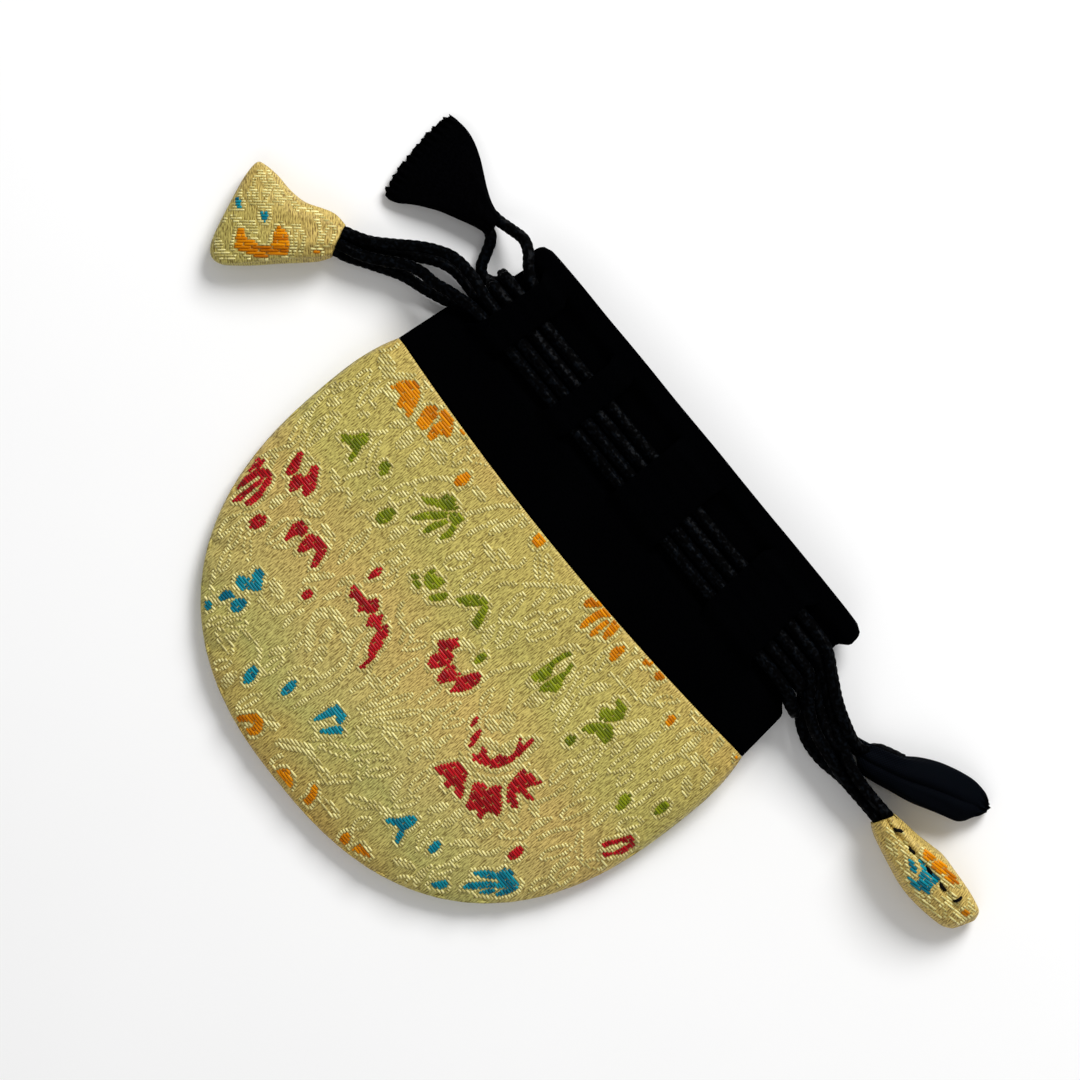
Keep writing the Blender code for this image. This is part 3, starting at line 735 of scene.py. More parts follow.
GREEN = (
    ((341, 436), (346, 435), (352, 437), (359, 436), (364, 434), (369, 435), (370, 440), (368, 444),
     (363, 448), (359, 454), (356, 459), (352, 463), (350, 459), (355, 451), (352, 445), (346, 443)),
    ((380, 469), (383, 463), (388, 462), (391, 467), (389, 474), (383, 476)),
    (387, 516, 20, 12, -30),
    ((421, 497), (427, 498), (434, 499), (441, 500), (447, 495), (452, 497), (455, 500), (459, 508),
     (455, 510), (446, 510), (441, 508), (435, 505), (428, 505)),
    ((412, 518), (417, 516), (422, 514), (429, 512), (436, 512), (447, 512), (449, 517), (441, 519),
     (434, 519), (427, 519), (420, 520)),
    ((424, 531), (428, 527), (432, 524), (438, 521), (446, 520), (449, 523), (440, 527), (433, 530),
     (429, 533)),
    ((451, 512), (459, 514), (464, 516), (464, 520), (460, 522), (459, 526), (455, 530), (452, 536),
     (447, 538), (441, 539), (443, 535), (450, 529), (453, 524), (450, 518)),
    ((413, 574), (418, 573), (419, 579), (422, 588), (418, 588), (415, 583)),
    ((425, 577), (430, 570), (435, 569), (436, 574), (440, 577), (444, 578), (445, 582), (441, 586),
     (438, 588), (432, 589), (427, 586)),
    ((428, 597), (433, 594), (440, 593), (446, 592), (449, 594), (446, 598), (440, 600), (432, 600)),
    ((456, 599), (463, 596), (470, 594), (477, 595), (483, 597), (487, 600), (488, 603), (480, 605),
     (467, 605)),
    ((481, 607), (486, 605), (489, 606), (487, 611), (483, 620), (478, 628), (475, 625), (473, 621),
     (478, 613)),
    (481, 657, 13, 7, -40),
    ((531, 675), (536, 671), (543, 666), (550, 661), (557, 656), (563, 652), (569, 651), (570, 654),
     (564, 657), (556, 662), (552, 668), (550, 675), (543, 680), (537, 680)),
    ((538, 689), (542, 684), (547, 680), (552, 677), (556, 674), (561, 672), (566, 668), (570, 662),
     (572, 665), (569, 670), (565, 675), (562, 680), (561, 685), (555, 692), (550, 688), (545, 690)),
    ((615, 697), (620, 698), (622, 702), (626, 706), (623, 711), (622, 717), (613, 719), (604, 719),
     (600, 717), (599, 711), (601, 706), (605, 706), (610, 708), (614, 709), (616, 704)),
    ((581, 727), (586, 723), (593, 721), (600, 721), (607, 722), (611, 726), (612, 735), (608, 739),
     (604, 742), (600, 739), (599, 735), (595, 731), (588, 731)),
    ((564, 738), (568, 734), (574, 735), (575, 739), (570, 743), (566, 742)),
    ((614, 806), (617, 800), (620, 794), (625, 791), (629, 793), (629, 799), (625, 804), (620, 808)),
    (661, 806, 17, 8, -40),
)
ORANGE = (
    ((391, 388), (397, 386), (400, 383), (406, 382), (413, 382), (419, 387), (421, 398), (419, 402),
     (417, 408), (414, 413), (411, 418), (408, 417), (407, 411), (404, 409), (398, 407), (400, 401),
     (403, 397), (400, 392)),
    ((424, 412), (427, 408), (431, 407), (436, 408), (438, 413), (438, 418), (434, 421), (432, 425),
     (429, 429), (423, 431), (419, 428), (417, 424), (421, 419)),
    ((440, 414), (443, 411), (448, 410), (451, 413), (454, 422), (452, 434), (451, 438), (447, 438),
     (443, 435), (440, 432), (438, 437), (434, 441), (430, 441), (429, 436), (432, 431), (434, 426),
     (440, 424), (442, 419)),
    ((428, 379), (432, 382), (435, 388), (430, 386)), ((461, 428), (465, 431), (467, 436), (462, 434)),
    (463, 480, 16, 10, -35), (539, 540, 15, 11, -50),
    ((583, 604), (586, 599), (592, 596), (597, 596), (601, 601), (602, 605), (595, 606), (587, 606)),
    ((579, 626), (583, 620), (588, 616), (594, 612), (600, 608), (605, 607), (611, 612), (609, 617),
     (604, 616), (600, 616), (595, 619), (589, 623), (583, 627)),
    ((590, 634), (592, 629), (597, 625), (602, 621), (606, 619), (608, 622), (602, 627), (597, 632),
     (593, 635)),
    ((602, 637), (603, 632), (608, 626), (612, 620), (615, 618), (619, 623), (616, 629), (611, 634),
     (606, 638)),
    ((608, 656), (610, 650), (615, 646), (622, 645), (624, 649), (619, 654), (613, 660)),
    ((642, 660), (646, 656), (650, 656), (652, 661), (649, 664), (643, 664)),
    ((653, 671), (658, 670), (663, 676), (661, 678), (655, 678)),
    ((664, 722), (665, 716), (669, 713), (674, 716), (671, 721), (667, 724)),
    ((735, 764), (735, 755), (737, 748), (741, 754), (739, 760)),
    ((236, 716), (246, 714), (256, 713), (262, 717), (264, 723), (262, 730), (257, 734), (250, 734),
     (243, 731), (248, 728), (254, 727), (255, 723), (250, 720), (238, 721)),
    ((277, 770), (281, 768), (287, 768), (293, 777), (293, 784), (290, 788), (285, 784), (281, 779)),
    ((313, 785), (316, 783), (318, 788), (317, 794), (314, 799), (310, 804), (303, 800), (307, 797),
     (311, 792)),
    ((340, 838), (344, 833), (349, 831), (350, 836), (348, 842), (344, 844)),
    ((351, 848), (356, 846), (361, 843), (366, 848), (370, 856), (362, 853)),
)
BLUE = (
    ((204, 549), (205, 541), (208, 533), (211, 526), (212, 520), (216, 517), (215, 523), (212, 532),
     (208, 545)),
    ((237, 578), (241, 575), (246, 577), (250, 578), (251, 583), (249, 586), (245, 590), (241, 587),
     (238, 584)),
    ((250, 588), (251, 583), (254, 580), (254, 572), (258, 568), (262, 570), (265, 575), (264, 580),
     (262, 590), (256, 590)),
    ((219, 598), (222, 594), (227, 590), (232, 591), (236, 594), (235, 597), (229, 598), (224, 600)),
    ((232, 603), (236, 599), (242, 598), (248, 600), (247, 605), (243, 609), (240, 611), (234, 612)),
    (207, 605, 10, 9, 0), (252, 674, 20, 10, -55), (290, 687, 18, 8, -45),
    ((314, 719), (320, 714), (326, 710), (332, 706), (338, 703), (341, 708), (347, 716), (345, 721),
     (340, 723), (337, 719), (339, 714), (334, 714), (329, 716), (322, 718)),
    ((320, 731), (325, 727), (331, 726), (337, 723), (341, 726), (345, 732), (337, 732), (329, 732)),
    ((387, 818), (391, 816), (397, 817), (403, 816), (409, 814), (415, 814), (418, 818), (415, 822),
     (411, 825), (406, 828), (404, 833), (401, 838), (399, 841), (396, 839), (397, 834), (400, 829),
     (399, 824), (391, 822)),
    (435, 845, 14, 8, -50),
    ((430, 884), (434, 881), (440, 880), (446, 879), (448, 883), (446, 887), (440, 888)),
    ((473, 871), (479, 869), (486, 869), (493, 870), (500, 871), (500, 877), (493, 877), (485, 877)),
    ((463, 886), (468, 882), (475, 881), (483, 880), (491, 880), (496, 882), (491, 886), (484, 887),
     (474, 888)),
    ((477, 892), (484, 889), (492, 888), (495, 890), (488, 893)),
    ((499, 878), (500, 870), (504, 867), (509, 868), (513, 872), (513, 878), (520, 882), (516, 889),
     (509, 892), (500, 895), (495, 894), (500, 890), (506, 886), (498, 887), (493, 885), (499, 881)),
)
SILKS = {"red": RED, "green": GREEN, "orange": ORANGE, "blue": BLUE}


def on_grain(cloth, across, down):
    """A point of the photograph, in millimetres along and across the rows of a cloth."""
    (middle_across, middle_down), turn = cloth
    right, below = (across - middle_across) * PIXEL / MM, (down - middle_down) * PIXEL / MM
    return right * math.cos(turn) + below * math.sin(turn), right * math.sin(turn) - below * math.cos(turn)


def outline_mask(u, v, outline, grow, cloth):
    """Which of the cloth's points lie inside an outline that is widened by grow."""
    corners = np.array([on_grain(cloth, *corner) for corner in outline])
    low, high = corners.min(axis=0) - 2.0, corners.max(axis=0) + 2.0
    near = (u > low[0]) & (u < high[0]) & (v > low[1]) & (v < high[1])
    x, y = u[near], v[near]
    inside = np.zeros(x.shape, bool)
    gap = np.full(x.shape, 9.0)
    for (x0, y0), (x1, y1) in zip(corners, np.roll(corners, -1, axis=0)):
        dx, dy = x1 - x0, y1 - y0
        share = ((x - x0) * dx + (y - y0) * dy) / (dx * dx + dy * dy)
        inside ^= ((y0 > y) != (y1 > y)) & (x < x0 + dx * (y - y0) / (dy or 1.0))
        share = np.clip(share, 0.0, 1.0)
        gap = np.minimum(gap, np.hypot(x - x0 - share * dx, y - y0 - share * dy))
    found = np.zeros(u.shape, bool)
    found[near] = (inside & (gap > -grow)) | (gap < grow)
    return found


def petal_mask(u, v, petals, grow=0.0, cloth=(SEAM_MIDDLE, SEAM_TURN)):
    """Which of the cloth's points lie in the petals: outlines, or leaves with blunt ends."""
    found = np.zeros(u.shape, bool)
    for petal in petals:
        if isinstance(petal[0], tuple):
            found |= outline_mask(u, v, petal, grow, cloth)
            continue
        across, down, long, wide, turn = petal
        x, y = on_grain(cloth, across, down)
        heading = cloth[1] - math.radians(turn)
        s = (u - x) * math.cos(heading) + (v - y) * math.sin(heading)
        t = (v - y) * math.cos(heading) - (u - x) * math.sin(heading)
        half_long = long * PIXEL / MM / 2 + grow
        half_wide = wide * PIXEL / MM / 2 + grow
        found |= np.abs(s / half_long) ** 2.4 + np.abs(t / half_wide) ** 2.0 < 1.0
    return found


CREAM_LEAVES = (
    (388, 366, 24, 15, 62), (392, 396, 15, 9, 40), (336, 402, 16, 10, -10), (337, 415, 14, 9, 20),
    (310, 460, 20, 9, 60), (337, 477, 18, 7, 65), (314, 512, 26, 8, 15), (404, 494, 12, 7, -10),
    (408, 440, 26, 12, -40), (417, 458, 24, 12, -50), (440, 454, 24, 14, 60), (452, 437, 20, 9, 55),
    (401, 425, 20, 8, -5), (287, 545, 24, 7, -5), (330, 532, 22, 7, 50), (480, 494, 20, 8, 50),
    (504, 490, 18, 8, 45), (500, 528, 24, 8, -30), (513, 521, 24, 7, -35), (527, 520, 20, 8, -50),
    (490, 552, 24, 8, 60), (504, 556, 18, 9, 60), (462, 556, 14, 8, 0), (468, 644, 20, 9, 40),
    (560, 660, 28, 6, -40), (536, 694, 30, 8, -40), (278, 588, 22, 13, 60), (284, 608, 26, 10, -20),
    (266, 602, 18, 9, 60), (326, 612, 26, 12, -10), (312, 626, 18, 8, -60), (312, 641, 22, 9, -70),
    (322, 653, 20, 11, -60), (340, 621, 24, 12, 60), (328, 635, 20, 10, -60), (352, 634, 24, 11, -40),
    (378, 682, 22, 12, 55), (362, 732, 20, 7, 50), (432, 712, 20, 8, -20), (430, 746, 24, 12, 70),
    (296, 744, 40, 12, 10), (314, 757, 36, 8, 50), (274, 722, 18, 11, 50), (234, 636, 16, 9, -40),
    (534, 682, 18, 11, 20), (542, 697, 30, 8, -35), (566, 706, 30, 5, -62), (492, 722, 20, 11, 60),
    (508, 721, 24, 12, -60), (491, 742, 18, 10, 30), (510, 745, 24, 11, -20), (586, 756, 20, 5, -40),
    (632, 724, 34, 11, -20), (646, 739, 30, 9, -35), (650, 686, 24, 11, -45), (630, 666, 20, 7, -50),
    (514, 815, 14, 9, 50), (534, 806, 20, 9, 60), (500, 823, 16, 8, 20), (486, 831, 16, 8, -30),
    (438, 806, 24, 9, -20), (454, 816, 30, 9, -40), (470, 825, 20, 11, 50), (690, 742, 26, 9, -40),
    (700, 760, 24, 8, 50), (672, 770, 28, 8, -30), (404, 862, 26, 8, 20), (380, 806, 28, 9, 30),
)
CREAM_RINGS = (
    (376, 494, 24, 11, -20), (404, 494, 30, 17, -30), (388, 556, 32, 13, -20), (350, 549, 32, 9, -55),
    (363, 540, 28, 8, -55), (280, 531, 32, 11, -50), (460, 560, 32, 15, -20), (396, 551, 24, 8, -30),
    (402, 563, 22, 8, -30), (538, 566, 24, 7, 90), (549, 566, 26, 8, 85), (532, 619, 26, 11, -30),
    (541, 633, 32, 11, -15), (507, 612, 24, 11, -60), (517, 601, 22, 9, -50), (564, 691, 46, 10, -57),
    (577, 683, 44, 9, -60), (568, 707, 52, 12, -62), (586, 757, 38, 16, -40), (642, 791, 42, 13, -40),
    (577, 806, 38, 13, -30), (275, 665, 26, 10, -40), (326, 775, 20, 9, 60), (343, 777, 22, 9, 0),
    (382, 770, 28, 10, -10), (394, 738, 26, 9, 40), (380, 693, 52, 8, -35), (388, 702, 56, 7, -20),
    (394, 713, 58, 7, -8), (388, 724, 50, 7, 8), (404, 669, 40, 9, -35), (322, 384, 30, 9, -10),
    (300, 430, 40, 9, -60), (318, 432, 36, 8, -58), (268, 464, 26, 8, -60), (226, 560, 24, 10, -70),
    (226, 640, 30, 11, 60), (250, 700, 28, 9, -30), (602, 812, 28, 10, -50), (556, 850, 34, 11, -20),
    (420, 780, 30, 10, -50), (408, 800, 26, 9, -20), (360, 800, 30, 10, 20), (330, 806, 28, 9, 45),
    (560, 770, 30, 10, -50), (700, 720, 30, 10, 45), (622, 760, 36, 11, -35), (446, 600, 20, 8, -20),
    (600, 660, 26, 9, -60), (236, 538, 24, 9, -60), (432, 692, 30, 9, -40), (300, 640, 26, 9, -50),
)
CREAM_SCROLLS = (
    ((386, 378), (400, 376), (415, 377)), ((394, 390), (380, 392), (371, 402), (376, 407)),
    ((361, 417), (365, 413), (369, 416)), ((326, 384), (340, 386), (356, 383)),
    ((334, 393), (341, 391), (347, 386)), ((328, 392), (313, 410), (307, 428), (303, 445)),
    ((338, 422), (325, 434), (309, 447)), ((284, 448), (274, 451), (265, 457)),
    ((278, 455), (273, 464), (269, 473)), ((348, 478), (357, 474), (367, 472)),
    ((303, 500), (318, 506), (330, 493), (342, 489), (353, 493), (348, 508)),
    ((416, 482), (434, 478), (453, 480)), ((386, 433), (378, 434), (370, 433)),
    ((358, 517), (365, 512), (373, 520)), ((466, 514), (484, 510), (498, 506), (520, 506)),
    ((470, 533), (484, 526), (497, 521)), ((492, 568), (506, 566), (519, 566), (525, 559)),
    ((480, 581), (486, 573), (493, 569)), ((499, 585), (507, 582), (515, 583)),
    ((525, 584), (546, 584), (565, 586)), ((544, 592), (541, 598), (535, 603)),
    ((498, 640), (505, 624), (518, 622), (514, 638), (499, 646)), ((435, 634), (449, 631), (463, 627)),
    ((482, 680), (494, 671), (514, 665), (529, 662)), ((406, 630), (399, 612), (404, 602)),
    ((429, 617), (415, 626), (412, 639)), ((551, 650), (570, 644), (583, 650)),
    ((373, 631), (361, 645), (354, 659), (347, 672), (332, 684), (314, 694), (297, 705)),
    ((364, 628), (353, 640), (348, 654), (341, 664), (324, 676), (306, 686)),
    ((402, 613), (406, 627), (402, 641)), ((430, 618), (419, 621), (409, 629)),
    ((283, 754), (274, 758), (271, 768)), ((334, 741), (324, 737), (313, 738)),
    ((489, 717), (503, 713), (510, 704), (512, 689)), ((541, 799), (554, 793), (565, 784)),
    ((472, 748), (481, 763), (497, 769), (516, 763), (532, 749), (541, 737)),
    ((461, 751), (472, 768), (489, 777), (511, 774), (528, 763)), ((539, 836), (555, 828), (571, 826)),
    ((352, 690), (366, 681), (372, 668)), ((312, 720), (330, 738), (352, 746), (372, 744)),
    ((610, 672), (624, 684), (640, 698), (660, 704)), ((676, 735), (690, 726), (706, 730)),
    ((660, 760), (680, 752), (694, 762)), ((244, 630), (258, 642), (262, 656), (256, 662)),
    ((216, 570), (212, 588), (220, 604)), ((452, 860), (470, 850), (490, 852), (500, 846)),
)
CLOTH_STEP = 0.1
SCROLL_STEP = 1.2
SCROLL_REACH = 3.0
LEAST_RUN = 0.3
LEAST_CUT = 0.4
LEAST_REST = 0.35
BINDING_GAP = 0.09
ROW_SHIFT = 0.37
END_JITTER = 0.07
SILK_SIZE, SILK_LENGTHS = (0.74, 0.24), (6.5, 0.7)
STRAW_SIZE, STRAW_LENGTHS = (0.52, 0.27), (2.2, 0.85)
FLOAT_STATIONS = ((0.0, 0.7, 0.2), (0.14, 1.0, 0.85), (0.5, 1.0, 1.0), (0.86, 1.0, 0.85), (1.0, 0.7, 0.2))
FLOAT_SECTION = ((-0.5, -0.4), (-0.24, 0.95), (0.24, 0.95), (0.5, -0.4))


def scroll_mask(u, v, scrolls, wide, cloth=(SEAM_MIDDLE, SEAM_TURN)):
    """Which of the cloth's points lie on the thin scrolls, which are wide millimetres wide."""
    found = np.zeros(u.shape, bool)
    for scroll in scrolls:
        line = curve_through([(*on_grain(cloth, *point), 0.0) for point in scroll], SCROLL_STEP)
        for (x0, y0, _), (x1, y1, _) in zip(line, line[1:]):
            near = (np.abs(u - x0) < SCROLL_REACH) & (np.abs(v - y0) < SCROLL_REACH)
            dx, dy = x1 - x0, y1 - y0
            share = np.clip(((u - x0) * dx + (v - y0) * dy) / (dx * dx + dy * dy), 0.0, 1.0)
            found |= near & (np.hypot(u - x0 - share * dx, v - y0 - share * dy) < wide / 2)
    return found


def filler_leaves(u, v, taken, seed, tries, along_rows=(-58.0, 58.0), over_rows=(-78.0, -1.0)):
    """Small leaves wherever the cloth is still bare."""
    rng = np.random.default_rng(seed)
    found = taken.copy()
    added = np.zeros(u.shape, bool)
    for _ in range(tries):
        x, y = rng.uniform(*along_rows), rng.uniform(*over_rows)
        long, wide = rng.uniform(2.4, 4.6), rng.uniform(0.9, 1.5)
        turn = rng.normal(1.55, 0.5)
        s = (u - x) * math.cos(turn) + (v - y) * math.sin(turn)
        t = (v - y) * math.cos(turn) - (u - x) * math.sin(turn) + 0.05 * s * s
        size = np.abs(s / long) ** 2.0 + np.abs(t / wide) ** 1.6
        if (found & (size < 1.5)).sum() > 0.1 * (size < 1.5).sum():
            continue
        rib = (size < 1.0) & (size > 0.42) if rng.random() < 0.6 else size < 0.8
        added |= rib
        found |= size < 1.15
    return added


def float_runs(mask, rows, left, lengths, seed):
    """Cuts each row of the mask into single floats: start, end and place down the cloth."""
    longest, shortest = lengths
    rng = np.random.default_rng(seed)
    runs = []
    for k, row in enumerate(mask):
        padded = np.diff(np.concatenate([[0], row.astype(int), [0]]))
        for first, last in zip(np.flatnonzero(padded == 1), np.flatnonzero(padded == -1)):
            start, end = left + first * CLOTH_STEP, left + last * CLOTH_STEP
            if end - start < LEAST_RUN:
                continue
            if end - start < shortest:
                middle = (start + end) / 2
                start, end = middle - shortest / 2, middle + shortest / 2
            shift = k * ROW_SHIFT * longest
            cut = math.ceil((start + shift) / longest) * longest - shift
            while cut < end:
                if cut - start > LEAST_CUT:
                    runs.append((start, cut - BINDING_GAP, rows[k]))
                start = cut
                cut += longest
            if end - start > LEAST_REST:
                runs.append((start, end, rows[k]))
    runs = np.array(runs)
    runs[:, :2] += rng.uniform(-END_JITTER, END_JITTER, (len(runs), 2))
    return runs


def pouch_surface(side):
    """Gives points on the pouch's outer face and the directions out of it."""

    def surface(x, y):
        x = np.asarray(x)
        z = cloth_height(side, x, y)
        reach = SLOPE_REACH
        slope_x = (cloth_height(side, x + reach, y) - cloth_height(side, x - reach, y)) / (2 * reach)
        slope_y = (cloth_height(side, x, y + reach) - cloth_height(side, x, y - reach)) / (2 * reach)
        out = np.stack([-slope_x * side, -slope_y * side, np.full(x.shape, float(side))], axis=-1)
        out /= np.linalg.norm(out, axis=-1)[..., None]
        return np.stack([x, y + FORWARD / MM, z], axis=-1), out

    return surface


def weave(name, runs, surface, finish, size):
    """Every float of one silk as one mesh: short ridges that lie along the rows."""
    wide, high = size
    start, end, row = runs[:, 0], runs[:, 1], runs[:, 2]
    points = []
    for share, spread, lift in FLOAT_STATIONS:
        for beside, up in FLOAT_SECTION:
            place, out = surface(start + (end - start) * share, row + beside * wide * spread)
            points.append(place + out * high * (up * lift if up > 0 else up * 0.6))
    points = np.stack(points, axis=1)
    around, count = len(FLOAT_SECTION), len(FLOAT_STATIONS) * len(FLOAT_SECTION)
    faces = []
    for k in range(len(FLOAT_STATIONS) - 1):
        for n in range(around):
            a, b = k * around + n, k * around + (n + 1) % around
            faces.append((a, a + around, b + around, b))
    faces.append(tuple(range(around)))
    faces.append(tuple(range(count - around, count))[::-1])
    data = bpy.data.meshes.new(name)
    every = [[corner + k * count for corner in face] for k in range(len(runs)) for face in faces]
    data.from_pydata((points.reshape(-1, 3) * MM).tolist(), [], every)
    data.shade_smooth()
    tint = data.attributes.new("stitch", "FLOAT", "POINT")
    rng = np.random.default_rng(len(runs))
    tint.data.foreach_set("value", np.repeat(rng.random(len(runs)), count).astype(np.float32))
    data.materials.append(finish)
    made = bpy.data.objects.new(name, data)
    bpy.context.collection.objects.link(made)
    return made


def silk(name, deep, bright, gloss):
    """Glossy floss, streaked along the float and a little different from float to float."""
    finish, start, look = material(name, 0.32)
    look["Specular IOR Level"].default_value = gloss
    values = {"Vector": place_on_piece(start), "Scale": (500.0, 7000.0, 3000.0)}
    streak = start.node("ShaderNodeMapping", values).noise(1.0, 2.0)
    stitch = start.node("ShaderNodeAttribute", out=2, attribute_name="stitch")
    shade = streak * 0.55 + stitch * 0.45
    feed(shade.ramp((0.25, deep), (0.75, bright)), look["Base Color"])
    feed(streak.bump(0.5, 0.0001), look["Normal"])
    return finish


SILK_FINISHES = {
    "red": silk("crimson silk", (0.21, 0.001, 0.003), (0.52, 0.007, 0.013), 0.16),
    "green": silk("leaf green silk", (0.082, 0.112, 0.002), (0.265, 0.31, 0.008), 0.13),
    "orange": silk("orange silk", (0.42, 0.11, 0.001), (0.78, 0.285, 0.002), 0.07),
    "blue": silk("blue silk", (0.001, 0.10, 0.16), (0.005, 0.27, 0.34), 0.13),
}
cream_finish = silk("straw silk floats", (0.40, 0.33, 0.085), (0.88, 0.80, 0.34), 0.5)

LEFT_END, RIGHT_END = -62.0, 62.0
FIRST_ROW, ROWS_END = -0.95, 1.4
SEAM_CLEARANCE = 0.3
cloth_rows = FIRST_ROW - ROW_PITCH * np.arange(int((POUCH_DEPTH - ROWS_END) / ROW_PITCH))
cloth_net = np.arange(LEFT_END, RIGHT_END, CLOTH_STEP)
U, V = np.meshgrid(cloth_net, cloth_rows)
on_cloth = outward(U, V) < 0.985
on_cloth &= np.abs(U) < half_width(V) * 0.99
on_cloth &= V < seam_line(U) - SEAM_CLEARANCE


def add_floats(name, side, mask, finish, size, lengths, seed):
    """Weaves one silk's floats into one panel."""
    runs = float_runs(mask & on_cloth, cloth_rows, LEFT_END, lengths, seed)
    piece = weave(name, runs, pouch_surface(side), finish, size)
    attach(piece, "root")


for side, place in ((1, "front"), (-1, "back")):
    # The back panel is cut from the same cloth, with its flowers in other places
    across, down = (U, V) if side > 0 else (-U * 0.97 + 3.0, V * 0.98 - 2.0)
    flowers = {colour: petal_mask(across, down, petals, 0.12) for colour, petals in SILKS.items()}
    coloured = np.zeros(U.shape, bool)
    outline = np.zeros(U.shape, bool)
    for colour, petals in SILKS.items():
        coloured |= petal_mask(across, down, petals, 0.2)
        outline |= petal_mask(across, down, petals, 1.05)
    rings = petal_mask(across, down, CREAM_RINGS, 0.25) & ~petal_mask(across, down, CREAM_RINGS, -0.62)
    leaves = petal_mask(across, down, CREAM_LEAVES, 0.1)
    scrolls = scroll_mask(across, down, CREAM_SCROLLS, 1.15)
    cream = (outline | rings | leaves | scrolls) & ~coloured
    cream |= filler_leaves(U, V, cream | coloured, 7 + side, 1500) & ~coloured
    for colour, mask in flowers.items():
        name = f"{place}_{colour}_floats"
        add_floats(name, side, mask, SILK_FINISHES[colour], SILK_SIZE, SILK_LENGTHS, 3)
    add_floats(f"{place}_straw_floats", side, cream, cream_finish, STRAW_SIZE, STRAW_LENGTHS, 5)


# The velvet bands.
# Two strips of black velvet, one sewn to each panel and folded in at the mouth. Four pairs of
# slits in each leave strips of it lying over the cords, and the rest dips under them.

BRIDGES = ((-48.0, -40.4), (-25.2, -18.6), (-3.2, 10.7), (26.7, 41.6))
SLIT_WIDTH = 0.08
BACK_SLIT_SHIFT = 0.45
VELVET_THICKNESS = 0.8
FLUTE_DEPTH = 0.7
CREASE_DEPTH = 0.22
STRAND_RIDGE = 0.12
CORD_ROOM = 0.35
TABLE_CLEARANCE = 0.02
COLUMN_STEP = 0.95
ROWS_BELOW, ROWS_IN_CHANNEL, ROWS_ABOVE = 15, 31, 6


def flute(x):
    """Soft folds of the mouth: out over each bridge and in between them."""
    middles = [sum(bridge) / 2 for bridge in BRIDGES]
    places, folds = [-SEAM_WIDTH / 2], [-0.5]
    for k, middle_place in enumerate(middles):
        if k:
            places.append((middle_place + middles[k - 1]) / 2)
            folds.append(-1.0)
        places.append(middle_place)
        folds.append(1.0)
    places.append(SEAM_WIDTH / 2)
    folds.append(-0.5)
    fine = np.interp(x, places, folds)
    return np.sin(fine * math.pi / 2)


def velvet_height(side, x, y, bridged):
    """Height of the velvet's outer face: over the cords on a bridge and under them elsewhere."""
    full = fullness(x, y)
    resting = cloth_height(side, x, y)
    resting = resting + side * FLUTE_DEPTH * flute(x) * full * smooth((y - 3.0) / 8.0)
    crease = CREASE_DEPTH * np.sin(x / 2.3 + 2.0 * np.sin(y / 6.0)) * np.sin(x / 7.1 + 0.5) * full
    resting = resting + side * crease * smooth((y - 2.0) / 6.0)
    strand = FRONT_CORD_HEIGHT if side > 0 else BACK_CORD_HEIGHT
    reach = CORD_DIAMETER / 2 + CORD_ROOM
    ridge = STRAND_RIDGE * side * np.sin(y * 2 * math.pi / STRAND_PITCH + 1.6)
    over = np.maximum(strand + side * (reach + VELVET_THICKNESS) + ridge, TABLE_CLEARANCE)
    edge = edge_height(y)
    under = edge + (strand - side * reach - edge) * np.minimum(1.0, 1.1 * full)
    woven_height = np.where(bridged, over, under)
    return resting + (woven_height - resting) * in_channel(y)


band_edge = float(half_width(np.array(sum(CHANNEL) / 2)))
cuts = [x for bridge in BRIDGES for x in bridge]
ends = [-band_edge, *cuts, band_edge]
column_places, column_bridged = [], []
for k in range(len(ends) - 1):
    low = ends[k] + (SLIT_WIDTH / 2 if k else 0.0)
    high = ends[k + 1] - (SLIT_WIDTH / 2 if k < len(cuts) else 0.0)
    steps = math.ceil((high - low) / COLUMN_STEP)
    column_places += list(np.linspace(low, high, steps + 1))
    column_bridged += [k % 2 == 1] * (steps + 1)
column_places, column_bridged = np.array(column_places), np.array(column_bridged)
slits_start, slits_end = CHANNEL[0] - CHANNEL_RAMP, CHANNEL[1] + CHANNEL_RAMP
row_places = np.concatenate([
    np.linspace(0.1, slits_start, ROWS_BELOW)[:-1],
    np.linspace(slits_start, slits_end, ROWS_IN_CHANNEL)[:-1],
    np.linspace(slits_end, BAND_HEIGHT, ROWS_ABOVE),
])

velvet_finish, start, velvet_look = material("black velvet", 0.95)
velvet_look["Specular IOR Level"].default_value = 0.005
place = place_on_piece(start)
nap = place.noise(2600.0, 3.0, 0.7)
lay = place.noise(70.0, 2.0)
pile = nap * 0.75 + lay * 0.25
feed(pile.ramp((0.35, (0.0001, 0.0001, 0.0002)), (0.7, (0.0006, 0.0007, 0.001))), velvet_look["Base Color"])
feed(nap.bump(0.7, 0.0003), velvet_look["Normal"])

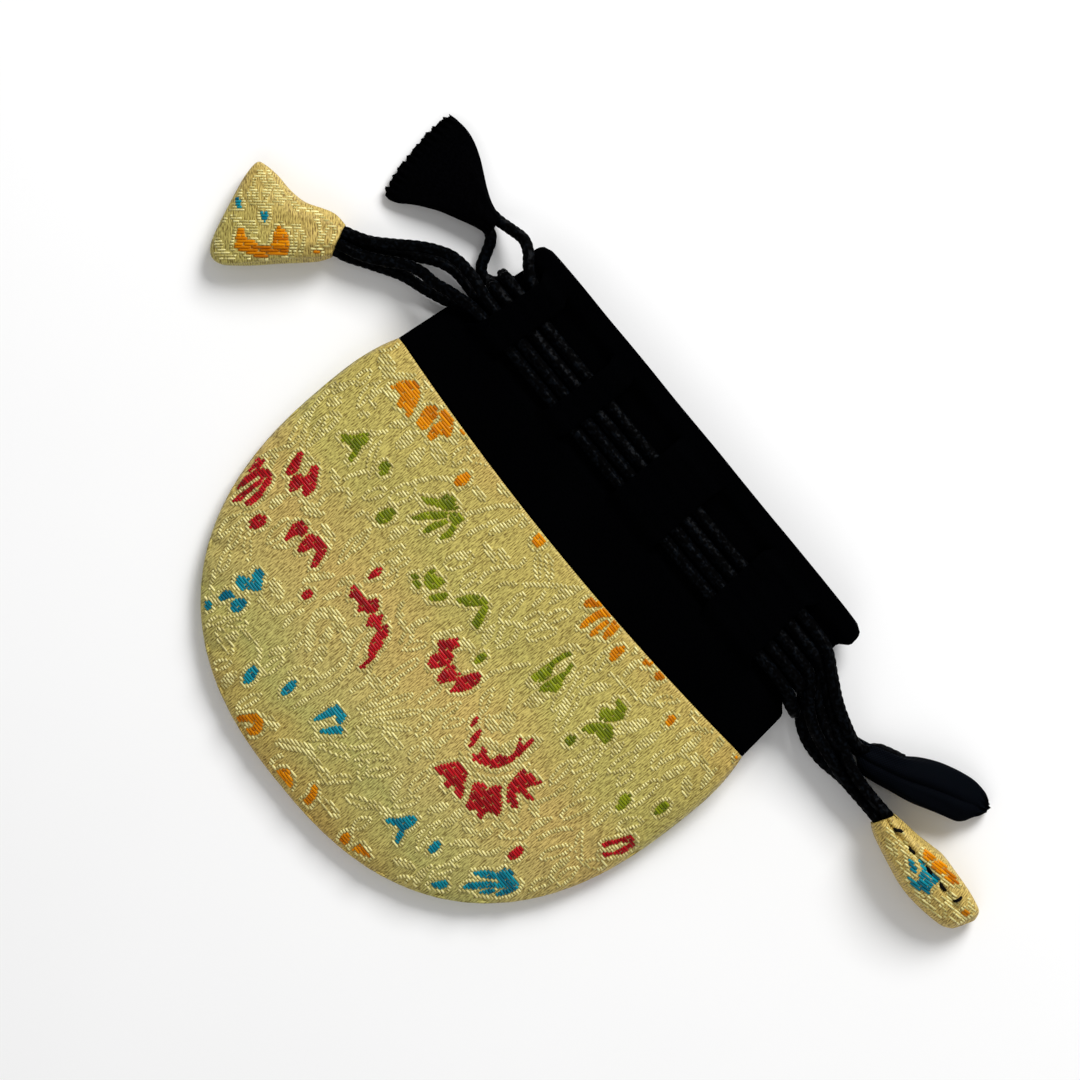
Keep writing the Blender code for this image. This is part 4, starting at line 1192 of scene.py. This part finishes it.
for side, node in ((1, "front_band"), (-1, "back_band")):
    piece, across, down = stretched_grid(node + "_velvet", len(column_places) - 1, len(row_places) - 1)
    column = np.rint(across * (len(column_places) - 1)).astype(int)
    row = np.rint((1.0 - down) * (len(row_places) - 1)).astype(int)
    y = row_places[row]
    # The back slits stand a little beside the front ones, so no light comes straight through
    shift = BACK_SLIT_SHIFT * (side < 0) * smooth((band_edge - np.abs(column_places)) / 3.0)
    x = (column_places + shift)[column] * half_width(y) / band_edge
    y = y + seam_line(x) * smooth(1.0 - y / SEAM_EASE)
    set_places(piece, x, y, velvet_height(side, x, y, column_bridged[column]))
    mesh = bmesh.new()
    mesh.from_mesh(piece.data)
    mesh.verts.ensure_lookup_table()
    slits = []
    for face in mesh.faces:
        corners = [vert.index for vert in face.verts]
        middle_row = row_places[row[corners]].mean()
        crossing = len(set(column_bridged[column[corners]])) > 1
        if crossing and slits_start < middle_row < slits_end:
            slits.append(face)
    bmesh.ops.delete(mesh, geom=slits, context="FACES")
    mesh.to_mesh(piece.data)
    mesh.free()
    thicken(piece, VELVET_THICKNESS, side)
    piece.data.materials.append(velvet_finish)
    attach(piece, "root")
    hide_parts(node)


# The pulls.
# Each is a small piece of cloth folded over the cords' ends, stuffed into a bud and sewn shut:
# two of brocade, one of black cloth with a pinked edge and one of ribbed black satin. Their
# two edges are read off the photograph, from the neck on, with half the height at each.

PULL_FORMS = {
    "left_brocade_pull": (
        (346, 226, 331, 258, 4.09), (336, 215, 319, 261, 4.3), (321, 208, 302, 262, 4.5),
        (304, 202, 280, 263, 4.5), (290, 191, 258, 265, 4.3), (277, 176, 238, 266, 4.0),
        (266, 166, 222, 265, 3.6), (257, 162, 212, 258, 3.0), (246, 174, 210, 247, 2.5),
        (238, 188, 213, 236, 2.0), (231, 200, 218, 225, 1.3),
    ),
    "right_brocade_pull": (
        (870, 823, 893, 813, 5.18), (873, 835, 903, 822, 5.3), (880, 849, 916, 834, 5.5),
        (888, 864, 929, 844, 5.6), (897, 880, 942, 854, 5.4), (907, 894, 954, 869, 5.0),
        (919, 907, 965, 885, 4.5), (931, 918, 973, 898, 3.8), (942, 926, 979, 911, 2.9),
        (952, 929, 976, 920, 1.9),
    ),
    "left_black_pull": (
        (500, 217, 489, 235, 2.52), (492, 203, 475, 226, 2.7), (487, 188, 458, 218, 2.7),
        (483, 172, 441, 211, 2.6), (479, 157, 425, 207, 2.4), (473, 140, 410, 204, 2.1),
        (466, 127, 398, 202, 1.7), (458, 118, 389, 198, 1.3), (450, 113, 384, 193, 0.9),
    ),
    "right_black_pull": (
        (856, 736, 858, 768, 2.4), (871, 744, 864, 775, 2.7), (886, 750, 877, 783, 3.1),
        (902, 756, 893, 792, 3.8), (919, 758, 910, 802, 4.0), (937, 762, 928, 810, 3.9),
        (953, 768, 943, 816, 3.5), (967, 775, 956, 821, 2.9), (977, 782, 965, 821, 2.2),
        (985, 792, 972, 819, 1.6), (988, 801, 979, 814, 1.0),
    ),
}
PULL_CLEARANCE = 0.4
PULL_LOWEST = 0.12
BUD_STEP = 1.6
GROOVE_DEPTH, GROOVE_WIDTH = 0.22, 0.11
FRILL_START, FRILL_RUN = 0.86, 0.14
BULGE_START, BULGE_RUN = 0.6, 0.4
DOUBLES_GAP = 0.00002
PULL_REACH = 18.0
PROBE_STRIDE = 3
RAY_HEIGHT = 0.05
PULL_SILK_SIZE, PULL_SILK_LENGTHS = (0.72, 0.2), (4.5, 0.7)
PULL_STRAW_SIZE, PULL_STRAW_LENGTHS = (0.46, 0.2), (2.0, 0.8)
LEFT_GRAIN, RIGHT_GRAIN = 0.03, math.radians(38.0)


def on_table(across, down):
    """The place on the table, in millimetres, of a point of the photograph."""
    x, y = on_bag(across, down)
    return x / MM, y / MM


def cloth_bud(node, finish, pleats, fold, seam=None, frill=0.0, frills=12, sides=72):
    """A folded bud of cloth round its stations, with pleats that run out from the neck."""
    stations = curve_through(PULL_FORMS[node], BUD_STEP)
    rows = len(stations) - 1
    piece, around, ahead = stretched_grid(node + "_cloth", sides, rows)
    angle = around * 2 * math.pi
    row = np.rint(ahead * rows).astype(int)
    ax, ay = on_table(stations[row, 0], stations[row, 1])
    bx, by = on_table(stations[row, 2], stations[row, 3])
    high = stations[row, 4]
    c, s = np.cos(angle), np.sin(angle)
    side = np.sign(c) * np.abs(c) ** 0.8
    lift = np.sign(s) * np.abs(s) ** 0.85
    fade = (1.0 - ahead) ** 0.7
    crease = fold * (fade * np.cos(pleats * angle + 3.0 * ahead) + 0.5 * np.sin(5 * angle + 9.0 * ahead))
    size = 1.0 + crease
    if seam is not None:
        size = size - GROOVE_DEPTH * np.exp(-(((side - seam) / GROOVE_WIDTH) ** 2)) * (s > 0)
    x = (ax + bx) / 2 + (bx - ax) / 2 * side * size
    y = (ay + by) / 2 + (by - ay) / 2 * side * size
    z = PULL_CLEARANCE + high * 1.05 + high * lift * size
    last = on_table(*(stations[-1, :2] + stations[-1, 2:4]) / 2)
    first = on_table(*(stations[0, :2] + stations[0, 2:4]) / 2)
    out = np.array(last) - np.array(first)
    out /= np.linalg.norm(out)
    wave = np.sin(frills * math.pi * side / 2 + 0.7) + 0.6 * np.sin(1.7 * frills * math.pi * side / 2)
    reach = frill * smooth((ahead - FRILL_START) / FRILL_RUN)
    bulge = np.where(ahead > BULGE_START, (ahead - BULGE_START) / BULGE_RUN, 0.0) * (1.0 - side * side)
    x = x + out[0] * (reach * wave * 0.5 + bulge * frill * 1.3)
    y = y + out[1] * (reach * wave * 0.5 + bulge * frill * 1.3)
    z = np.maximum(z + reach * 0.6 * np.sin(frills * math.pi * side / 2 + 2.2), PULL_LOWEST)
    set_places(piece, x, y - FORWARD / MM, z)
    pick(piece)
    bpy.ops.object.mode_set(mode="EDIT")
    bpy.ops.mesh.select_all(action="SELECT")
    bpy.ops.mesh.remove_doubles(threshold=DOUBLES_GAP)
    bpy.ops.mesh.select_all(action="DESELECT")
    bpy.ops.mesh.select_non_manifold()
    bpy.ops.mesh.fill_holes(sides=0)
    bpy.ops.mesh.select_all(action="SELECT")
    bpy.ops.mesh.normals_make_consistent(inside=False)
    bpy.ops.object.mode_set(mode="OBJECT")
    bpy.ops.object.shade_smooth_by_angle(angle=math.radians(50))
    piece.data.materials.append(finish)
    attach(piece, "root")
    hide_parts(node)
    return piece


def pull_surface(piece, centre, grain):
    """Gives the top of a pull at places along and across the grain of its cloth."""
    tree = BVHTree.FromObject(piece, bpy.context.evaluated_depsgraph_get())

    def surface(u, v):
        across = centre[0] + (u * math.cos(grain) + v * math.sin(grain)) * MM / PIXEL
        down = centre[1] + (u * math.sin(grain) - v * math.cos(grain)) * MM / PIXEL
        x, y = on_bag(across, down)
        places, outs = [], []
        # A ray that misses the pull gives a place under the table, which no float is woven at
        for k in range(len(x)):
            hit, out, _, _ = tree.ray_cast(Vector((x[k], y[k], RAY_HEIGHT)), Vector((0.0, 0.0, -1.0)))
            if hit is None:
                hit, out = Vector((x[k], y[k], -0.01)), Vector((0.0, 0.0, 1.0))
            places.append(np.array(hit) / MM)
            outs.append(np.array(out))
        return np.array(places), np.array(outs)

    return surface


def floats_on_pull(name, piece, centre, grain, silks, straw, rings, scrolls, seed):
    """Weaves the pull's own flowers, with rows along the grain."""
    surface = pull_surface(piece, centre, grain)
    rows = np.arange(-PULL_REACH, PULL_REACH, ROW_PITCH)
    u, v = np.meshgrid(np.arange(-PULL_REACH, PULL_REACH, CLOTH_STEP), rows)
    flat_places, flat_outs = surface(u.ravel()[::PROBE_STRIDE], v.ravel()[::PROBE_STRIDE])
    solid = (flat_places[:, 2] > 0.0) & (flat_outs[:, 2] > 0.3)
    solid = solid.reshape(u[:, ::PROBE_STRIDE].shape)
    solid = np.repeat(solid, PROBE_STRIDE, axis=1)[:, : u.shape[1]]
    for places, axis in ((4, 1), (-4, 1), (1, 0), (-1, 0)):
        solid &= np.roll(solid, places, axis=axis)
    cloth = (centre, grain)
    coloured = np.zeros(u.shape, bool)
    outline = np.zeros(u.shape, bool)
    for colour, petals in silks.items():
        mask = petal_mask(u, v, petals, 0.0, cloth) & solid
        coloured |= petal_mask(u, v, petals, 0.1, cloth)
        outline |= petal_mask(u, v, petals, 0.85, cloth)
        runs = float_runs(mask, rows, -PULL_REACH, PULL_SILK_LENGTHS, seed)
        finish = SILK_FINISHES[colour]
        woven_piece = weave(f"{name}_{colour}_floats", runs, surface, finish, PULL_SILK_SIZE)
        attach(woven_piece, "root")
    straws = outline | petal_mask(u, v, straw, 0.0, cloth) | scroll_mask(u, v, scrolls, 1.0, cloth)
    straws |= petal_mask(u, v, rings, 0.3, cloth) & ~petal_mask(u, v, rings, -0.5, cloth)
    straws |= filler_leaves(u, v, straws | coloured, seed, 160, (-16.0, 16.0), (-16.0, 16.0))
    runs = float_runs(straws & solid & ~coloured, rows, -PULL_REACH, PULL_STRAW_LENGTHS, seed)
    woven_piece = weave(name + "_straw_floats", runs, surface, cream_finish, PULL_STRAW_SIZE)
    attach(woven_piece, "root")


# The left pull's satin is a copy painted 8% darker than the right one's: painted shade, offsetting the extra
# lamp light that its rounder top catches.
left_darkened_ground = satin_ground("straw gold satin, upright, painted darker", -SEAM_TURN, 0.92)
right_ground = satin_ground("straw gold satin, leaning", RIGHT_GRAIN - SEAM_TURN)
left_bud = cloth_bud("left_brocade_pull", left_darkened_ground, 9, 0.035)
right_bud = cloth_bud("right_brocade_pull", right_ground, 7, 0.03, seam=0.2)

floats_on_pull(
    "left_pull", left_bud, (270.0, 225.0), LEFT_GRAIN,
    {
        "orange": (
            ((239, 231), (246, 230), (247, 238), (251, 242), (257, 243), (261, 248), (268, 248), (274, 246),
             (275, 236), (279, 229), (282, 227), (287, 233), (290, 238), (291, 248), (289, 256), (280, 258),
             (268, 260), (258, 259), (250, 256), (242, 252), (235, 250), (236, 242)),
            (318, 254, 7, 5, 0),
        ),
        "blue": (
            ((236, 199), (239, 198), (243, 204), (243, 210), (239, 210), (236, 205)),
            ((231, 203), (234, 199), (235, 203), (232, 209)),
            ((262, 215), (265, 212), (269, 213), (270, 219), (268, 224), (263, 222)),
        ),
    },
    (
        (246, 227, 24, 8, -15), (254, 230, 16, 10, 60), (269, 190, 22, 9, -75), (280, 200, 20, 8, 60),
        (220, 246, 22, 9, 60), (226, 256, 24, 7, 10), (240, 222, 20, 7, 30), (262, 176, 14, 8, 60),
    ),
    ((262, 191, 30, 12, 75), (255, 198, 18, 11, 80), (293, 244, 34, 10, -85), (330, 238, 24, 10, -70)),
    (
        ((254, 190), (258, 205), (268, 209), (278, 204), (289, 200)), ((304, 210), (316, 214), (328, 222)),
        ((318, 222), (322, 232), (320, 246)), ((214, 238), (221, 250), (222, 260)),
        ((300, 228), (306, 240), (302, 254)), ((270, 170), (274, 184), (284, 194)),
    ),
    11,
)
floats_on_pull(
    "right_pull", right_bud, (925.0, 870.0), RIGHT_GRAIN,
    {
        "orange": (
            ((918, 851), (921, 845), (926, 843), (932, 848), (936, 853), (930, 857), (923, 858)),
            ((926, 860), (932, 857), (940, 857), (946, 865), (953, 869), (945, 872), (937, 871),
             (930, 867)),
            ((938, 874), (949, 871), (956, 872), (961, 877), (964, 882), (955, 882), (946, 880)),
            (964, 911, 9, 7, 0),
        ),
        "blue": (
            ((904, 853), (908, 855), (911, 862), (914, 868), (911, 871), (906, 864), (904, 858)),
            ((914, 855), (919, 858), (925, 867), (930, 872), (937, 876), (933, 882), (928, 883), (926, 892),
             (921, 890), (915, 886), (907, 880), (903, 872), (908, 874), (913, 877), (916, 874), (913, 868),
             (918, 867), (916, 861)),
        ),
    },
    ((888, 844, 22, 8, 60), (900, 842, 16, 7, 40), (920, 900, 26, 8, 50), (950, 896, 20, 8, 50)),
    ((934, 904, 26, 10, 50), (896, 868, 24, 9, 60), (972, 902, 16, 8, 60)),
    (((884, 826), (894, 838), (902, 850)), ((940, 894), (952, 908), (962, 920))),
    13,
)

crepe, start, crepe_look = material("black cloth", 0.92)
crepe_look["Specular IOR Level"].default_value = 0.008
thread = place_on_piece(start).noise(2100.0, 2.0)
crepe_shade = thread.ramp((0.35, (0.0001, 0.0001, 0.0002)), (0.75, (0.0008, 0.0008, 0.0012)))
feed(crepe_shade, crepe_look["Base Color"])
feed(thread.bump(0.5, 0.0002), crepe_look["Normal"])

# The satin's ribs are small round knuckles in rows, a little over half a millimetre apart, and the top of
# each knuckle is painted a faint bluish grey as a painted highlight, while the black between them is the
# satin's own colour.
satin, start, satin_look = material("ribbed black satin", 0.6)
satin_look["Specular IOR Level"].default_value = 0.003
values = {"Vector": place_on_piece(start), "Rotation": (0.0, 0.0, -0.46), "Scale": (9500.0, 9500.0, 9500.0)}
ribs = start.node("ShaderNodeMapping", values)
knuckle = ribs.part(0).math("SINE") * ribs.part(1).math("SINE") * 0.5 + 0.5
# Painted highlight: the colour rises from black to a bluish grey toward each knuckle's top, and the satin's
# own gloss is turned almost off.
satin_painted_highlight = knuckle.ramp((0.62, (0.0001, 0.0001, 0.0002)), (0.95, (0.010, 0.014, 0.022)))
feed(satin_painted_highlight, satin_look["Base Color"])
feed(knuckle.bump(0.3, 0.0001), satin_look["Normal"])

black_bud = cloth_bud("left_black_pull", crepe, 8, 0.04, frill=0.9, frills=27, sides=168)
satin_bud = cloth_bud("right_black_pull", satin, 7, 0.05, 0.1, frill=0.9, frills=11, sides=96)


# The whip stitches.
# Black sewing thread closes the fold of the right brocade pull: five short stitches over its
# edge, each sunk into the cloth at both ends.

WHIP_STITCHES = (
    ((891, 826), (899, 829)), ((906, 844), (911, 851)), ((923, 864), (928, 872)),
    ((937, 880), (943, 888)), ((951, 899), (959, 895)),
)
STITCH_LIFT = (-0.3, 0.25, 0.34, 0.25, -0.3)
STITCH_STEP = 0.3
THREAD_DIAMETER = 0.75
THREAD_SIDES = 6
thread_finish, start, thread_look = material("black thread", 0.6)
thread_look["Base Color"].default_value = (0.001, 0.001, 0.0014, 1.0)
thread_look["Specular IOR Level"].default_value = 0.06


def sewing_thread(name, line, finish):
    """A smooth thread along a line."""
    across, up = side_frames(line)
    points = []
    for k, centre in enumerate(line):
        for n in range(THREAD_SIDES):
            angle = 2 * math.pi * n / THREAD_SIDES
            outward_way = math.cos(angle) * across[k] + math.sin(angle) * up[k]
            points.append(centre + THREAD_DIAMETER / 2 * outward_way)
    return make_piece(name, points, tube_faces(len(line), THREAD_SIDES), finish)


right_top = pull_surface(right_bud, (0.0, 0.0), 0.0)
for k, (start_point, end_point) in enumerate(WHIP_STITCHES):
    spots = np.linspace(start_point, end_point, len(STITCH_LIFT))
    places, outs = right_top(spots[:, 0] * PIXEL / MM, -spots[:, 1] * PIXEL / MM)
    line = curve_through(places + outs * np.array(STITCH_LIFT)[:, None], STITCH_STEP)
    stitch = sewing_thread(f"whip_stitch_{k + 1}", line, thread_finish)
    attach(stitch, "root")
